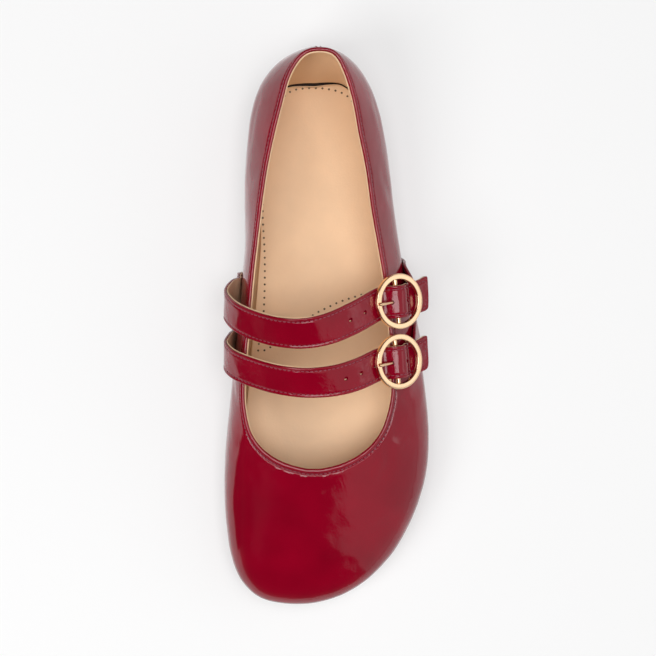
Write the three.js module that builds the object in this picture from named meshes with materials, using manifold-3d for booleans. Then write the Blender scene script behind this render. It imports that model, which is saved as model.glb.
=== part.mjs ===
// Mary jane shoe with two instep straps, for the left foot, on a flat last with a wide round toe.
// Millimetres. X runs from the inner side of the foot (-) to the outer side (+), Y from toe (-) to
// heel (+), Z is up from the floor. The origin is the middle of the footprint, on the floor.

import * as THREE from 'three';
import { mergeVertices } from 'three/addons/utils/BufferGeometryUtils.js';
import Module from 'manifold-3d';

const wasm = await Module();
wasm.setup();

// Last and upper
const LENGTH = 250; // toe to heel over the upper
const BALL_WIDTH = 93; // widest place of the upper, across the ball of the foot
const HEEL_HEIGHT = 54; // floor to the top edge at the back of the heel
const THROAT_HEIGHT = 41; // floor to the top edge at the middle of the vamp
const UPPER_WALL = 2; // leather and lining together
const FEATHER_TUCK = 3.5; // how far the upper draws in under its widest line
const FOLD_WIDTH = 2.4; // folded top edge
const FOLD_STEP = 0.4; // how far the fold stands proud of the wall
const GAP = 0.3; // room between pieces that touch
const FACET_ROOM = 0.4; // more room for the flat facets of a strap on the round upper

// Sole and insole
const SOLE_THICKNESS = 4.5;
const SOLE_MARGIN = 1.3; // outsole beyond the upper's feather edge
const SOLE_EDGE_STEP = 0.5; // step in the side of the outsole
const TOE_SPRING = 5.5;
const HEEL_BEVEL = 1.2; // lift of the outsole's back edge
const ARCH_LIFT = 2; // lift of the waist on the inner side
const INSOLE_THICKNESS = 3.2;
const INSOLE_CUP = 1.4; // how far the insole's rim rises around the heel

// Straps and buckle tabs
const STRAP_WIDTH = 14.2;
const STRAP_THICKNESS = 1.8;
const REAR_ARCH_RISE = 20; // upper's edge to the top of the rear strap's arch
const FRONT_ARCH_RISE = 17.3;
const STRAP_TAIL = 6; // strap beyond the buckle's outer edge
const TAB_WIDTH = 12;
const TAB_THICKNESS = 1.3;

// Buckles
const BAR_SHOW = 2.6; // bar that shows beside the strap, inside the ring
const RING_FACE = 2.5; // width of the ring's flat face
const RING_THICKNESS = 2.2;
const BAR_RADIUS = 1;
const PRONG_RADIUS = 0.7;
const BUCKLE_TILT = 29; // degrees, outer side down
const BUCKLE_TURN = 6; // degrees, strap's heading towards the heel as it goes out
const BUCKLE_FACING = -4; // degrees, direction that the tilted buckle faces

// Mesh density
const POINTS_AROUND = 84; // points around the shoe
const STRAP_STEPS = 2; // steps between two stations of a strap or tab

// Rows from heel to toe. along, inner and outer are the widest line of the upper; topAlong, topInner
// and topOuter its top edge: shares of the length from the heel, and of the ball width from the
// middle. top is the height of the edge as a share of the blend from throat to heel height, widest
// the height of the widest line as a share of the edge's, bow the wall's lean in at the edge beyond
// its chord, in degrees, and full how round the wall is.
const SECTIONS = table(
  ['along', 'inner', 'outer', 'topAlong', 'topInner', 'topOuter', 'top', 'widest', 'bow', 'full'],
  [0.0, -0.065, -0.065, 0.016, -0.068, -0.068, 1.0, 0.42, 9, 0.38],
  [0.022, -0.237, 0.113, 0.028, -0.157, 0.02, 0.99, 0.42, 9, 0.38],
  [0.06, -0.326, 0.194, 0.062, -0.215, 0.065, 0.945, 0.42, 10, 0.38],
  [0.108, -0.372, 0.245, 0.11, -0.251, 0.103, 0.845, 0.41, 11, 0.38],
  [0.156, -0.39, 0.275, 0.156, -0.282, 0.127, 0.71, 0.41, 12, 0.38],
  [0.22, -0.402, 0.303, 0.22, -0.318, 0.166, 0.47, 0.4, 12, 0.38],
  [0.284, -0.404, 0.326, 0.284, -0.343, 0.193, 0.25, 0.39, 12, 0.38],
  [0.348, -0.403, 0.352, 0.348, -0.364, 0.226, 0.06, 0.38, 12, 0.38],
  [0.412, -0.417, 0.383, 0.412, -0.383, 0.258, -0.08, 0.38, 12, 0.38],
  [0.48, -0.434, 0.419, 0.48, -0.398, 0.281, -0.17, 0.38, 12, 0.38],
  [0.548, -0.453, 0.456, 0.548, -0.414, 0.294, -0.23, 0.38, 12, 0.39],
  [0.62, -0.47, 0.485, 0.614, -0.423, 0.297, -0.28, 0.38, 13, 0.4],
  [0.688, -0.489, 0.5, 0.654, -0.412, 0.277, -0.28, 0.37, 14, 0.42],
  [0.748, -0.5, 0.495, 0.682, -0.391, 0.248, -0.24, 0.36, 14, 0.44],
  [0.808, -0.5, 0.46, 0.704, -0.356, 0.206, -0.18, 0.35, 12, 0.47],
  [0.868, -0.488, 0.392, 0.722, -0.306, 0.152, -0.12, 0.34, 10, 0.5],
  [0.92, -0.462, 0.301, 0.735, -0.25, 0.092, -0.07, 0.32, 8, 0.53],
  [0.956, -0.421, 0.2, 0.743, -0.195, 0.037, -0.03, 0.31, 6, 0.55],
  [0.982, -0.355, 0.086, 0.748, -0.143, -0.018, -0.01, 0.3, 5, 0.56],
  [1.0, -0.156, -0.156, 0.75, -0.08, -0.08, 0.0, 0.3, 5, 0.56],
);

// Profile of the outsole's side, from the floor up: height as a share of the sole's thickness, inset
// as a share of the edge step.
const SOLE_SIDE = table(['height', 'inset'], [0, 1.8], [0.18, 0], [0.6, 0], [0.68, 1], [1, 1.3]);

// Arches of the straps between the upper and the buckle: across is a share of the ball width from
// the middle, along a share of the length from the heel. height is a share of the arch's rise above
// the upper's edge, or below the edge, where it is negative, a share of the edge's own height.
const REAR_ARCH = table(
  ['across', 'along', 'height'],
  [-0.468, 0.441, -0.45],
  [-0.498, 0.459, -0.158],
  [-0.464, 0.478, 0.194],
  [-0.387, 0.494, 0.582],
  [-0.27, 0.507, 0.89],
  [-0.15, 0.51, 1.0],
  [-0.032, 0.502, 0.96],
  [0.086, 0.484, 0.786],
);
const FRONT_ARCH = table(
  ['across', 'along', 'height'],
  [-0.478, 0.536, -0.45],
  [-0.498, 0.55, -0.182],
  [-0.464, 0.564, 0.11],
  [-0.382, 0.577, 0.555],
  [-0.27, 0.589, 0.861],
  [-0.13, 0.595, 1.0],
  [0.01, 0.591, 0.93],
  [0.112, 0.581, 0.769],
);

// Where each strap and its buckle sit: roots of strap and tab as shares of the length from the heel,
// slants as how far they drift towards the toe as they climb, and the buckle's middle like the rows
// of its arch.
const REAR_STRAP = {
  rise: REAR_ARCH_RISE,
  arch: REAR_ARCH,
  buckle: { across: 0.315, along: 0.4536, height: 0.289 },
  root: { along: 0.42, slant: 0.06 },
  tabRoot: { along: 0.388, slant: 0.045 },
};
const FRONT_STRAP = {
  rise: FRONT_ARCH_RISE,
  arch: FRONT_ARCH,
  buckle: { across: 0.317, along: 0.5596, height: 0.295 },
  root: { along: 0.516, slant: 0.06 },
  tabRoot: { along: 0.495, slant: 0.045 },
};
const STRAP_LEAN = 29; // degrees, top of the arch leans towards the toe

// Path of the strap over the bar: distance from the bar as a share of the half opening of the ring
// at the strap's edges, and how far it has come down from its crown to the underside of the ring.
const OVER_BAR = table(
  ['out', 'drop'],
  [0, 0],
  [0.28, 0.08],
  [0.56, 0.4],
  [0.82, 0.84],
  [1.02, 1.02],
  [1.3, 1.06],
);

// Rows of numbers with named columns.
function table(columns, ...rows) {
  return rows.map((row) => Object.fromEntries(columns.map((name, i) => [name, row[i]])));
}

const radians = THREE.MathUtils.degToRad;
const lerp = THREE.MathUtils.lerp;
const smooth = THREE.MathUtils.smoothstep;

function alongToY(along) {
  return LENGTH * (0.5 - along);
}

// Smooth closed curve through values at stops that run from 0 to just under 1.
function closedSpline(stops, values) {
  const count = stops.length;
  const value = (i) => values[(i + count) % count];
  const stop = (i) => stops[(i + count) % count] + Math.floor(i / count);
  const slope = (i) => {
    const before = stop(i) - stop(i - 1);
    const after = stop(i + 1) - stop(i);
    const rise = ((value(i) - value(i - 1)) / before) * after;
    const fall = ((value(i + 1) - value(i)) / after) * before;
    return (rise + fall) / (before + after);
  };
  return (turn) => {
    const u = turn - Math.floor(turn);
    let i = 0;
    while (i + 1 < count && stops[i + 1] <= u) i += 1;
    const width = stop(i + 1) - stop(i);
    const t = (u - stop(i)) / width;
    const t2 = t * t;
    const t3 = t2 * t;
    return (
      (2 * t3 - 3 * t2 + 1) * value(i) +
      (t3 - 2 * t2 + t) * width * slope(i) +
      (3 * t2 - 2 * t3) * value(i + 1) +
      (t3 - t2) * width * slope(i + 1)
    );
  };
}

// The rows once around the shoe: heel, outer side, toe, inner side.
function aroundRows() {
  const last = SECTIONS.length - 1;
  const side = (row, x, topX) => ({
    x: BALL_WIDTH * x,
    y: alongToY(row.along),
    topX: BALL_WIDTH * topX,
    topY: alongToY(row.topAlong),
    topZ: lerp(THROAT_HEIGHT, HEEL_HEIGHT, row.top),
    widest: row.widest,
    bow: row.bow,
    full: row.full,
  });
  const outer = SECTIONS.map((row) => side(row, row.outer, row.topOuter));
  const inner = SECTIONS.slice(1, last).map((row) => side(row, row.inner, row.topInner));
  return [...outer, ...inner.reverse()];
}

function upperCurves() {
  const rows = aroundRows();
  const steps = rows.map((row, i) => {
    const next = rows[(i + 1) % rows.length];
    return Math.hypot(next.x - row.x, next.y - row.y);
  });
  const total = steps.reduce((sum, step) => sum + step, 0);
  const stops = [];
  let walked = 0;
  for (const step of steps) {
    stops.push(walked / total);
    walked += step;
  }
  const curves = {};
  for (const name of Object.keys(rows[0])) {
    curves[name] = closedSpline(stops, rows.map((row) => row[name]));
  }
  return curves;
}

const UPPER = upperCurves();

// Lift of the outsole's underside above the floor.
function soleLift(x, y) {
  const along = 0.5 - y / LENGTH;
  const toe = TOE_SPRING * Math.max(0, (along - 0.84) / 0.16) ** 2;
  const heel = HEEL_BEVEL * Math.max(0, (0.06 - along) / 0.06) ** 2;
  const waist = smooth(along, 0.3, 0.42) * (1 - smooth(along, 0.44, 0.58));
  const inner = smooth(-x / BALL_WIDTH, 0.08, 0.4);
  return toe + heel + ARCH_LIFT * waist * inner;
}

function soleTop(x, y) {
  return SOLE_THICKNESS + soleLift(x, y);
}

// Point of the widest line moved in towards the middle of the shoe, as seen from above.
function outlinePoint(turn, inset) {
  const step = 1e-4;
  const x = UPPER.x(turn);
  const y = UPPER.y(turn);
  const dx = UPPER.x(turn + step) - UPPER.x(turn - step);
  const dy = UPPER.y(turn + step) - UPPER.y(turn - step);
  const size = Math.hypot(dx, dy);
  return new THREE.Vector2(x + (dy / size) * inset, y - (dx / size) * inset);
}

// Half section of the upper's outer face, from the feather edge over the widest line to the top.
function sectionCurve(turn) {
  const foot = outlinePoint(turn, FEATHER_TUCK);
  const wide = outlinePoint(turn, 0);
  const lift = soleLift(foot.x, foot.y);
  const bottom = new THREE.Vector3(foot.x, foot.y, soleTop(foot.x, foot.y) + GAP);
  const top = new THREE.Vector3(UPPER.topX(turn), UPPER.topY(turn), UPPER.topZ(turn));
  const widestZ = UPPER.widest(turn) * top.z + lift;
  const widest = new THREE.Vector3(wide.x, wide.y, widestZ);
  const belly = widestZ - bottom.z;
  const flat = new THREE.Vector3(top.x - wide.x, top.y - wide.y, 0);
  const chord = top.distanceTo(widest);
  const rise = Math.atan2(top.z - widestZ, flat.length()) - radians(UPPER.bow(turn));
  const into = flat.normalize().multiplyScalar(Math.cos(rise)).setZ(Math.sin(rise));
  const full = UPPER.full(turn);
  const lower = new THREE.CubicBezierCurve3(
    bottom,
    bottom.clone().lerp(widest, 0.55).setZ(bottom.z + 0.2 * belly),
    widest.clone().setZ(widestZ - 0.5 * belly),
    widest,
  );
  const upper = new THREE.CubicBezierCurve3(
    widest,
    widest.clone().setZ(widestZ + full * (top.z - widestZ)),
    top.clone().addScaledVector(into, -0.9 * full * chord),
    top,
  );
  const path = new THREE.CurvePath();
  path.add(lower);
  path.add(upper);
  return path;
}

const sectionCache = new Map();

// Outer face of the upper: turn goes once around from the heel, rise from feather edge to top.
function upperFace(turn, rise) {
  const key = turn - Math.floor(turn);
  if (!sectionCache.has(key)) sectionCache.set(key, sectionCurve(turn));
  return sectionCache.get(key).getPointAt(Math.min(Math.max(rise, 0), 1));
}

function upperNormal(turn, rise) {
  const step = 1e-3;
  const low = Math.max(rise - step, 0);
  const high = Math.min(rise + step, 1);
  const up = upperFace(turn, high).sub(upperFace(turn, low));
  const side = upperFace(turn + step, rise).sub(upperFace(turn - step, rise));
  return up.cross(side).normalize();
}

// Face of the upper moved out (+) or in (-) along its normal.
function upperOffset(turn, rise, out) {
  return upperFace(turn, rise).addScaledVector(upperNormal(turn, rise), out);
}

// Inner face of the upper at a height, moved in by a clearance.
function innerWallAt(turn, z, clearance) {
  let low = 0;
  let high = 0.6;
  for (let i = 0; i < 24; i += 1) {
    const middle = (low + high) / 2;
    if (upperOffset(turn, middle, -UPPER_WALL).z < z) low = middle;
    else high = middle;
  }
  const point = upperOffset(turn, low, -UPPER_WALL);
  const normal = upperNormal(turn, low).setZ(0).normalize();
  return point.addScaledVector(normal, -clearance).setZ(z);
}

// Turn at which the widest line passes a place along the shoe, on the inner or the outer side.
function turnAt(along, side) {
  const y = alongToY(along);
  let low = side === 'outer' ? 0.02 : 0.55;
  let high = side === 'outer' ? 0.45 : 0.98;
  for (let i = 0; i < 40; i += 1) {
    const middle = (low + high) / 2;
    const towardsToe = UPPER.y(middle) > y;
    if (towardsToe === (side === 'outer')) low = middle;
    else high = middle;
  }
  return (low + high) / 2;
}

// Triangle mesh that is filled from rings of points and closed by caps.
class Shell {
  constructor() {
    this.positions = [];
    this.triangles = [];
  }

  add(point) {
    this.positions.push(point.x, point.y, point.z);
    return this.positions.length / 3 - 1;
  }

  ring(points) {
    return points.map((point) => this.add(point));
  }

  quad(a, b, c, d) {
    this.triangles.push(a, b, c, a, c, d);
  }

  // Band between two rings of equally many points.
  band(lower, upper) {
    lower.forEach((corner, i) => {
      const j = (i + 1) % lower.length;
      this.quad(corner, lower[j], upper[j], upper[i]);
    });
  }

  fan(ring, tip) {
    ring.forEach((corner, i) => this.triangles.push(corner, ring[(i + 1) % ring.length], tip));
  }

  geometry() {
    const geometry = new THREE.BufferGeometry();
    geometry.setAttribute('position', new THREE.Float32BufferAttribute(this.positions, 3));
    geometry.setIndex(this.triangles);
    return facingOut(geometry);
  }
}

function volumeOf(geometry) {
  const position = geometry.getAttribute('position');
  const index = geometry.getIndex();
  const corners = [new THREE.Vector3(), new THREE.Vector3(), new THREE.Vector3()];
  let sum = 0;
  for (let i = 0; i < index.count; i += 3) {
    corners.forEach((corner, k) => corner.fromBufferAttribute(position, index.getX(i + k)));
    sum += corners[0].dot(corners[1].clone().cross(corners[2])) / 6;
  }
  return sum;
}

function facingOut(geometry) {
  if (volumeOf(geometry) < 0) {
    const index = geometry.getIndex();
    for (let i = 0; i < index.count; i += 3) {
      const second = index.getX(i + 1);
      index.setX(i + 1, index.getX(i + 2));
      index.setX(i + 2, second);
    }
  }
  return geometry;
}

function toSolid(geometry) {
  const bare = geometry.clone();
  bare.deleteAttribute('normal');
  bare.deleteAttribute('uv');
  const merged = mergeVertices(bare, 1e-4);
  const vertProperties = new Float32Array(merged.getAttribute('position').array);
  const triVerts = new Uint32Array(merged.getIndex().array);
  return new wasm.Manifold(new wasm.Mesh({ numProp: 3, vertProperties, triVerts }));
}

function fromSolid(solid) {
  const mesh = solid.getMesh();
  const geometry = new THREE.BufferGeometry();
  geometry.setAttribute('position', new THREE.BufferAttribute(mesh.vertProperties, 3));
  geometry.setIndex(new THREE.BufferAttribute(mesh.triVerts, 1));
  return geometry;
}

function turns(count) {
  return Array.from({ length: count }, (_, i) => i / count);
}

// The upper is a wall around the foot: up the outer face, over the folded edge, down the inside.
function makeUpper() {
  const shell = new Shell();
  const around = turns(POINTS_AROUND);
  const outerRises = [0, 0.06, 0.14, 0.24, 0.36, 0.48, 0.6, 0.71, 0.81, 0.9];
  const innerRises = [0.08, 0.2, 0.36, 0.54, 0.7, 0.86, 1];
  const length = (turn) => {
    upperFace(turn, 0);
    return sectionCache.get(turn - Math.floor(turn)).getLength();
  };
  const foldStart = (turn) => 1 - FOLD_WIDTH / length(turn);
  const outside = outerRises.map((rise) =>
    shell.ring(around.map((turn) => upperFace(turn, rise * foldStart(turn)))),
  );
  const foldFoot = shell.ring(around.map((turn) => upperFace(turn, foldStart(turn))));
  const foldEdge = shell.ring(around.map((turn) => upperOffset(turn, foldStart(turn), FOLD_STEP)));
  const topOuter = shell.ring(around.map((turn) => upperOffset(turn, 1, FOLD_STEP)));
  const crest = shell.ring(around.map((turn) => {
    const up = upperFace(turn, 1).sub(upperFace(turn, 0.99)).normalize();
    return upperOffset(turn, 1, (FOLD_STEP - UPPER_WALL) / 2).addScaledVector(up, UPPER_WALL * 0.4);
  }));
  const inside = innerRises.map((rise) =>
    shell.ring(around.map((turn) => upperOffset(turn, rise, -UPPER_WALL))),
  );
  const foot = shell.ring(around.map((turn) => {
    const edge = upperFace(turn, 0);
    return innerWallAt(turn, edge.z + UPPER_WALL / 2, 0).setZ(edge.z);
  }));
  const rings = [...outside, foldFoot, foldEdge, topOuter, crest, ...inside.reverse(), foot];
  rings.forEach((ring, i) => shell.band(ring, rings[(i + 1) % rings.length]));
  return shell.geometry();
}

// Skin across a ring whose first point is at the heel and whose middle point is at the toe.
function capAcross(shell, ring, columns, heightAt) {
  const half = ring.length / 2;
  const place = (index) => new THREE.Vector3().fromArray(shell.positions, index * 3);
  let previous = null;
  for (let i = 1; i < half; i += 1) {
    const outer = ring[i];
    const inner = ring[ring.length - i];
    const row = [outer];
    for (let k = 1; k < columns; k += 1) {
      const point = place(outer).lerp(place(inner), k / columns);
      row.push(shell.add(point.setZ(heightAt(point.x, point.y, k / columns))));
    }
    row.push(inner);
    if (previous === null) {
      for (let k = 0; k < columns; k += 1) shell.triangles.push(row[k], row[k + 1], ring[0]);
    } else {
      for (let k = 0; k < columns; k += 1) {
        shell.quad(row[k], row[k + 1], previous[k + 1], previous[k]);
      }
    }
    previous = row;
  }
  for (let k = 0; k < columns; k += 1) {
    shell.triangles.push(previous[k + 1], previous[k], ring[half]);
  }
}

function flipLast(shell, since) {
  for (let i = since; i < shell.triangles.length; i += 3) {
    const second = shell.triangles[i + 1];
    shell.triangles[i + 1] = shell.triangles[i + 2];
    shell.triangles[i + 2] = second;
  }
}

function makeOutsole() {
  const shell = new Shell();
  const around = turns(POINTS_AROUND);
  const rings = SOLE_SIDE.map((row) => shell.ring(around.map((turn) => {
    const edge = outlinePoint(turn, FEATHER_TUCK - SOLE_MARGIN);
    const point = outlinePoint(turn, FEATHER_TUCK - SOLE_MARGIN + row.inset * SOLE_EDGE_STEP);
    const z = soleLift(edge.x, edge.y) + row.height * SOLE_THICKNESS;
    return new THREE.Vector3(point.x, point.y, z);
  })));
  for (let i = 0; i + 1 < rings.length; i += 1) shell.band(rings[i], rings[i + 1]);
  const columns = 5;
  capAcross(shell, rings[rings.length - 1], columns, (x, y) => soleTop(x, y));
  const since = shell.triangles.length;
  capAcross(shell, rings[0], columns, (x, y) => soleLift(x, y));
  flipLast(shell, since);
  return shell.geometry();
}

function insoleHeight(x, y, across) {
  const along = 0.5 - y / LENGTH;
  const rim = Math.abs(2 * across - 1) ** 3;
  const heel = 1 - smooth(along, 0.3, 0.62);
  return soleTop(x, y) + GAP + INSOLE_THICKNESS + INSOLE_CUP * rim * heel;
}

function makeInsole() {
  const shell = new Shell();
  const around = turns(POINTS_AROUND);
  const edgeAt = (height, clearance) => shell.ring(around.map((turn) => {
    const foot = outlinePoint(turn, FEATHER_TUCK + UPPER_WALL);
    const z = height(foot.x, foot.y);
    return innerWallAt(turn, z, clearance);
  }));
  const bottom = edgeAt((x, y) => soleTop(x, y) + GAP, GAP + UPPER_WALL * 0.4);
  const top = edgeAt((x, y) => insoleHeight(x, y, 0), GAP);
  shell.band(bottom, top);
  const columns = 6;
  capAcross(shell, top, columns, insoleHeight);
  const since = shell.triangles.length;
  capAcross(shell, bottom, columns, (x, y) => soleTop(x, y) + GAP);
  flipLast(shell, since);
  return shell.geometry();
}

// Where a buckle sits and how it is turned: along follows the strap outwards, across the bar.
function buckleFrame(design) {
  const tilt = radians(BUCKLE_TILT);
  const facing = radians(BUCKLE_FACING);
  const turn = radians(BUCKLE_TURN);
  const normal = new THREE.Vector3(
    Math.sin(tilt) * Math.cos(facing),
    Math.sin(tilt) * Math.sin(facing),
    Math.cos(tilt),
  );
  const heading = new THREE.Vector3(Math.cos(turn), Math.sin(turn), 0);
  const along = heading.addScaledVector(normal, -heading.dot(normal)).normalize();
  const across = normal.clone().cross(along);
  const middle = archPoint(design, design.buckle);
  const at = (out, side, up) => middle.clone()
    .addScaledVector(along, out)
    .addScaledVector(across, side)
    .addScaledVector(normal, up);
  const matrix = new THREE.Matrix4().makeBasis(along, across, normal).setPosition(middle);
  return { along, across, normal, at, matrix };
}

function archPoint(design, row) {
  const edge = UPPER.topZ(turnAt(design.buckle.along, 'outer'));
  const z = edge + row.height * (row.height > 0 ? design.rise : edge);
  return new THREE.Vector3(BALL_WIDTH * row.across, alongToY(row.along), z);
}

const RING_INNER = STRAP_WIDTH / 2 + BAR_SHOW;
const RING_OUTER = RING_INNER + RING_FACE;
const BAR_DROP = RING_THICKNESS / 2 + BAR_RADIUS / 2; // bar's axis below the middle of the ring
const ROLL_RADIUS = BAR_RADIUS + GAP + Math.max(TAB_THICKNESS, 2 * PRONG_RADIUS);
const STRAP_CROWN = ROLL_RADIUS - BAR_DROP + GAP + STRAP_THICKNESS / 2;
const STRAP_UNDER = -(RING_THICKNESS / 2 + GAP + STRAP_THICKNESS / 2);
const HALF_OPENING = Math.sqrt(RING_INNER ** 2 - (STRAP_WIDTH / 2) ** 2);

// Ribbon along a smooth path of points, each with the direction across the ribbon.
function makeRibbon(stations, width, thickness) {
  const steps = (stations.length - 1) * STRAP_STEPS;
  const path = new THREE.CatmullRomCurve3(stations.map((station) => station.point));
  const sides = new THREE.CatmullRomCurve3(stations.map((station) => station.across));
  const bevel = thickness * 0.22;
  const halfWidth = width / 2;
  const halfThickness = thickness / 2;
  const corners = [
    [halfWidth - bevel, halfThickness],
    [-halfWidth + bevel, halfThickness],
    [-halfWidth, halfThickness - bevel],
    [-halfWidth, -halfThickness + bevel],
    [-halfWidth + bevel, -halfThickness],
    [halfWidth - bevel, -halfThickness],
    [halfWidth, -halfThickness + bevel],
    [halfWidth, halfThickness - bevel],
  ];
  const shell = new Shell();
  const rings = [];
  for (let i = 0; i <= steps; i += 1) {
    const centre = path.getPoint(i / steps);
    const tangent = path.getTangent(i / steps);
    const across = sides.getPoint(i / steps);
    across.addScaledVector(tangent, -across.dot(tangent)).normalize();
    const normal = tangent.clone().cross(across);
    rings.push(shell.ring(corners.map(([side, up]) =>
      centre.clone().addScaledVector(across, side).addScaledVector(normal, up))));
    if (i === 0) shell.fan([...rings[0]].reverse(), shell.add(centre));
    if (i === steps) shell.fan(rings[i], shell.add(centre));
  }
  for (let i = 0; i < steps; i += 1) shell.band(rings[i], rings[i + 1]);
  return shell.geometry();
}

const LEANING = new THREE.Vector3(0, Math.cos(radians(STRAP_LEAN)), Math.sin(radians(STRAP_LEAN)));

// Stations of a ribbon that climbs the upper's outer face. The first is below the feather edge,
// where the ribbon is trimmed later.
function climbStations(root, side, rises, thickness) {
  const stations = rises.map((rise) => {
    const turn = turnAt(root.along + root.slant * rise, side);
    const normal = upperNormal(turn, rise);
    const across = LEANING.clone().addScaledVector(normal, -LEANING.dot(normal)).normalize();
    const out = GAP + FACET_ROOM + thickness / 2;
    return { point: upperOffset(turn, rise, out), across };
  });
  const lowest = stations[0];
  const below = lowest.point.clone().setZ(lowest.point.z - 2 * SOLE_THICKNESS);
  return [{ point: below, across: lowest.across }, ...stations];
}

// Everything from the top of the outsole down, wider than the shoe.
function makeSoleCutter() {
  const shell = new Shell();
  const around = turns(POINTS_AROUND);
  const wide = -BALL_WIDTH / 3;
  const edgeAt = (height) => shell.ring(around.map((turn) => {
    const edge = outlinePoint(turn, FEATHER_TUCK);
    const point = outlinePoint(turn, wide);
    return new THREE.Vector3(point.x, point.y, height(edge.x, edge.y));
  }));
  const floor = edgeAt(() => -LENGTH / 2);
  const top = edgeAt((x, y) => soleTop(x, y) + GAP);
  shell.band(floor, top);
  capAcross(shell, top, 1, () => 0);
  const since = shell.triangles.length;
  capAcross(shell, floor, 1, () => 0);
  flipLast(shell, since);
  return shell.geometry();
}

function strapStations(design) {
  const frame = buckleFrame(design);
  const climb = climbStations(design.root, 'inner', [0.1, 0.17, 0.25], STRAP_THICKNESS);
  const arch = design.arch.map((row) => archPoint(design, row));
  const over = [...OVER_BAR.slice(1).reverse().map((row) => ({ ...row, out: -row.out })), ...OVER_BAR];
  const drop = STRAP_CROWN - STRAP_UNDER;
  const buckled = over.map((row) => frame.at(row.out * HALF_OPENING, 0, STRAP_CROWN - row.drop * drop));
  const tipUp = STRAP_UNDER - 0.12 * drop;
  const tip = frame.at(RING_OUTER + STRAP_TAIL, 0, tipUp - 0.05 * drop);
  const tail = frame.at(RING_OUTER + 0.5 * STRAP_TAIL, 0, tipUp);
  return [
    ...climb,
    ...arch.map((point, i) => ({
      point,
      across: LEANING.clone().lerp(frame.across, smooth(i / arch.length, 0.5, 1)),
    })),
    ...[...buckled, tail, tip].map((point) => ({ point, across: frame.across })),
  ];
}

function prongPoints() {
  const radius = BAR_RADIUS + GAP + PRONG_RADIUS;
  const loop = [-200, -160, -120, -80, -40, 0, 40, 80].map((angle) => [
    radius * Math.cos(radians(angle)),
    radius * Math.sin(radians(angle)) - BAR_DROP,
  ]);
  const rest = RING_THICKNESS / 2 + GAP + PRONG_RADIUS;
  const top = radius - BAR_DROP;
  return [
    ...loop,
    [-0.35 * HALF_OPENING, lerp(top, rest, 0.05)],
    [-0.8 * HALF_OPENING, lerp(top, rest, 0.45)],
    [-RING_INNER, rest],
    [-RING_OUTER + PRONG_RADIUS / 2, rest],
  ];
}

// Round rod of the given radius along the prong's path, in the buckle's own frame.
function makeProng(frame, radius, steps) {
  const points = prongPoints().map(([out, up]) => frame.at(out, 0, up));
  const path = new THREE.CatmullRomCurve3(points);
  const section = new THREE.Shape();
  section.absarc(0, 0, radius, 0, Math.PI * 2);
  const rod = new THREE.ExtrudeGeometry(section, {
    steps, extrudePath: path, curveSegments: 4, bevelEnabled: false,
  });
  return fromSolid(toSolid(rod));
}

function makeStrap(design) {
  const strap = makeRibbon(strapStations(design), STRAP_WIDTH, STRAP_THICKNESS);
  const frame = buckleFrame(design);
  const hole = makeProng(frame, PRONG_RADIUS + GAP, 16);
  return fromSolid(toSolid(strap).subtract(toSolid(hole)).subtract(toSolid(makeSoleCutter())));
}

function tabStations(design) {
  const frame = buckleFrame(design);
  const climb = climbStations(design.tabRoot, 'outer', [0.1, 0.18, 0.28, 0.4], TAB_THICKNESS);
  const radius = BAR_RADIUS + GAP + TAB_THICKNESS / 2;
  const under = STRAP_UNDER - 0.15 * (STRAP_CROWN - STRAP_UNDER) - STRAP_THICKNESS / 2 - GAP;
  const low = under - TAB_THICKNESS;
  const wrap = [-100, -140, -180, -220, -260, -300].map((angle) =>
    frame.at(radius * Math.cos(radians(angle)), 0, radius * Math.sin(radians(angle)) - BAR_DROP));
  const fold = -BAR_DROP - radius;
  return [
    ...climb,
    { point: frame.at(RING_OUTER, 0, low), across: frame.across },
    { point: frame.at(HALF_OPENING, 0, lerp(low, fold, 0.5)), across: frame.across },
    { point: frame.at(0.4 * HALF_OPENING, 0, fold), across: frame.across },
    ...wrap.map((point) => ({ point, across: frame.across })),
    { point: frame.at(1.15 * radius, 0, 0.2 * radius - BAR_DROP), across: frame.across },
    { point: frame.at(0.5 * HALF_OPENING, 0, fold + TAB_THICKNESS + GAP), across: frame.across },
  ];
}

// Tab that holds the buckle, with a slot in its roll for the prong.
function makeTab(design) {
  const tab = makeRibbon(tabStations(design), TAB_WIDTH, TAB_THICKNESS);
  const frame = buckleFrame(design);
  const slotSize = 2 * (ROLL_RADIUS + 2 * GAP);
  const slot = new THREE.BoxGeometry(slotSize, 2 * (PRONG_RADIUS + GAP), slotSize);
  slot.translate(0, 0, -BAR_DROP).applyMatrix4(frame.matrix);
  return fromSolid(toSolid(tab).subtract(toSolid(slot)).subtract(toSolid(makeSoleCutter())));
}

// Flat ring with softened edges and a bar across its underside.
function makeBuckle(design) {
  const frame = buckleFrame(design);
  const soft = RING_THICKNESS * 0.22;
  const half = RING_THICKNESS / 2;
  const profile = [
    [RING_INNER + soft, -half], [RING_OUTER - soft, -half], [RING_OUTER, -half + soft],
    [RING_OUTER, half - soft], [RING_OUTER - soft, half], [RING_INNER + soft, half],
    [RING_INNER, half - soft], [RING_INNER, -half + soft], [RING_INNER + soft, -half],
  ].map(([r, z]) => new THREE.Vector2(r, z));
  const ring = new THREE.LatheGeometry(profile, 32).rotateX(Math.PI / 2);
  const barLength = RING_INNER + RING_OUTER;
  const bar = new THREE.CylinderGeometry(BAR_RADIUS, BAR_RADIUS, barLength, 10);
  bar.translate(0, 0, -BAR_DROP);
  const solid = toSolid(ring).add(toSolid(bar));
  return fromSolid(solid).applyMatrix4(frame.matrix);
}

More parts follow.
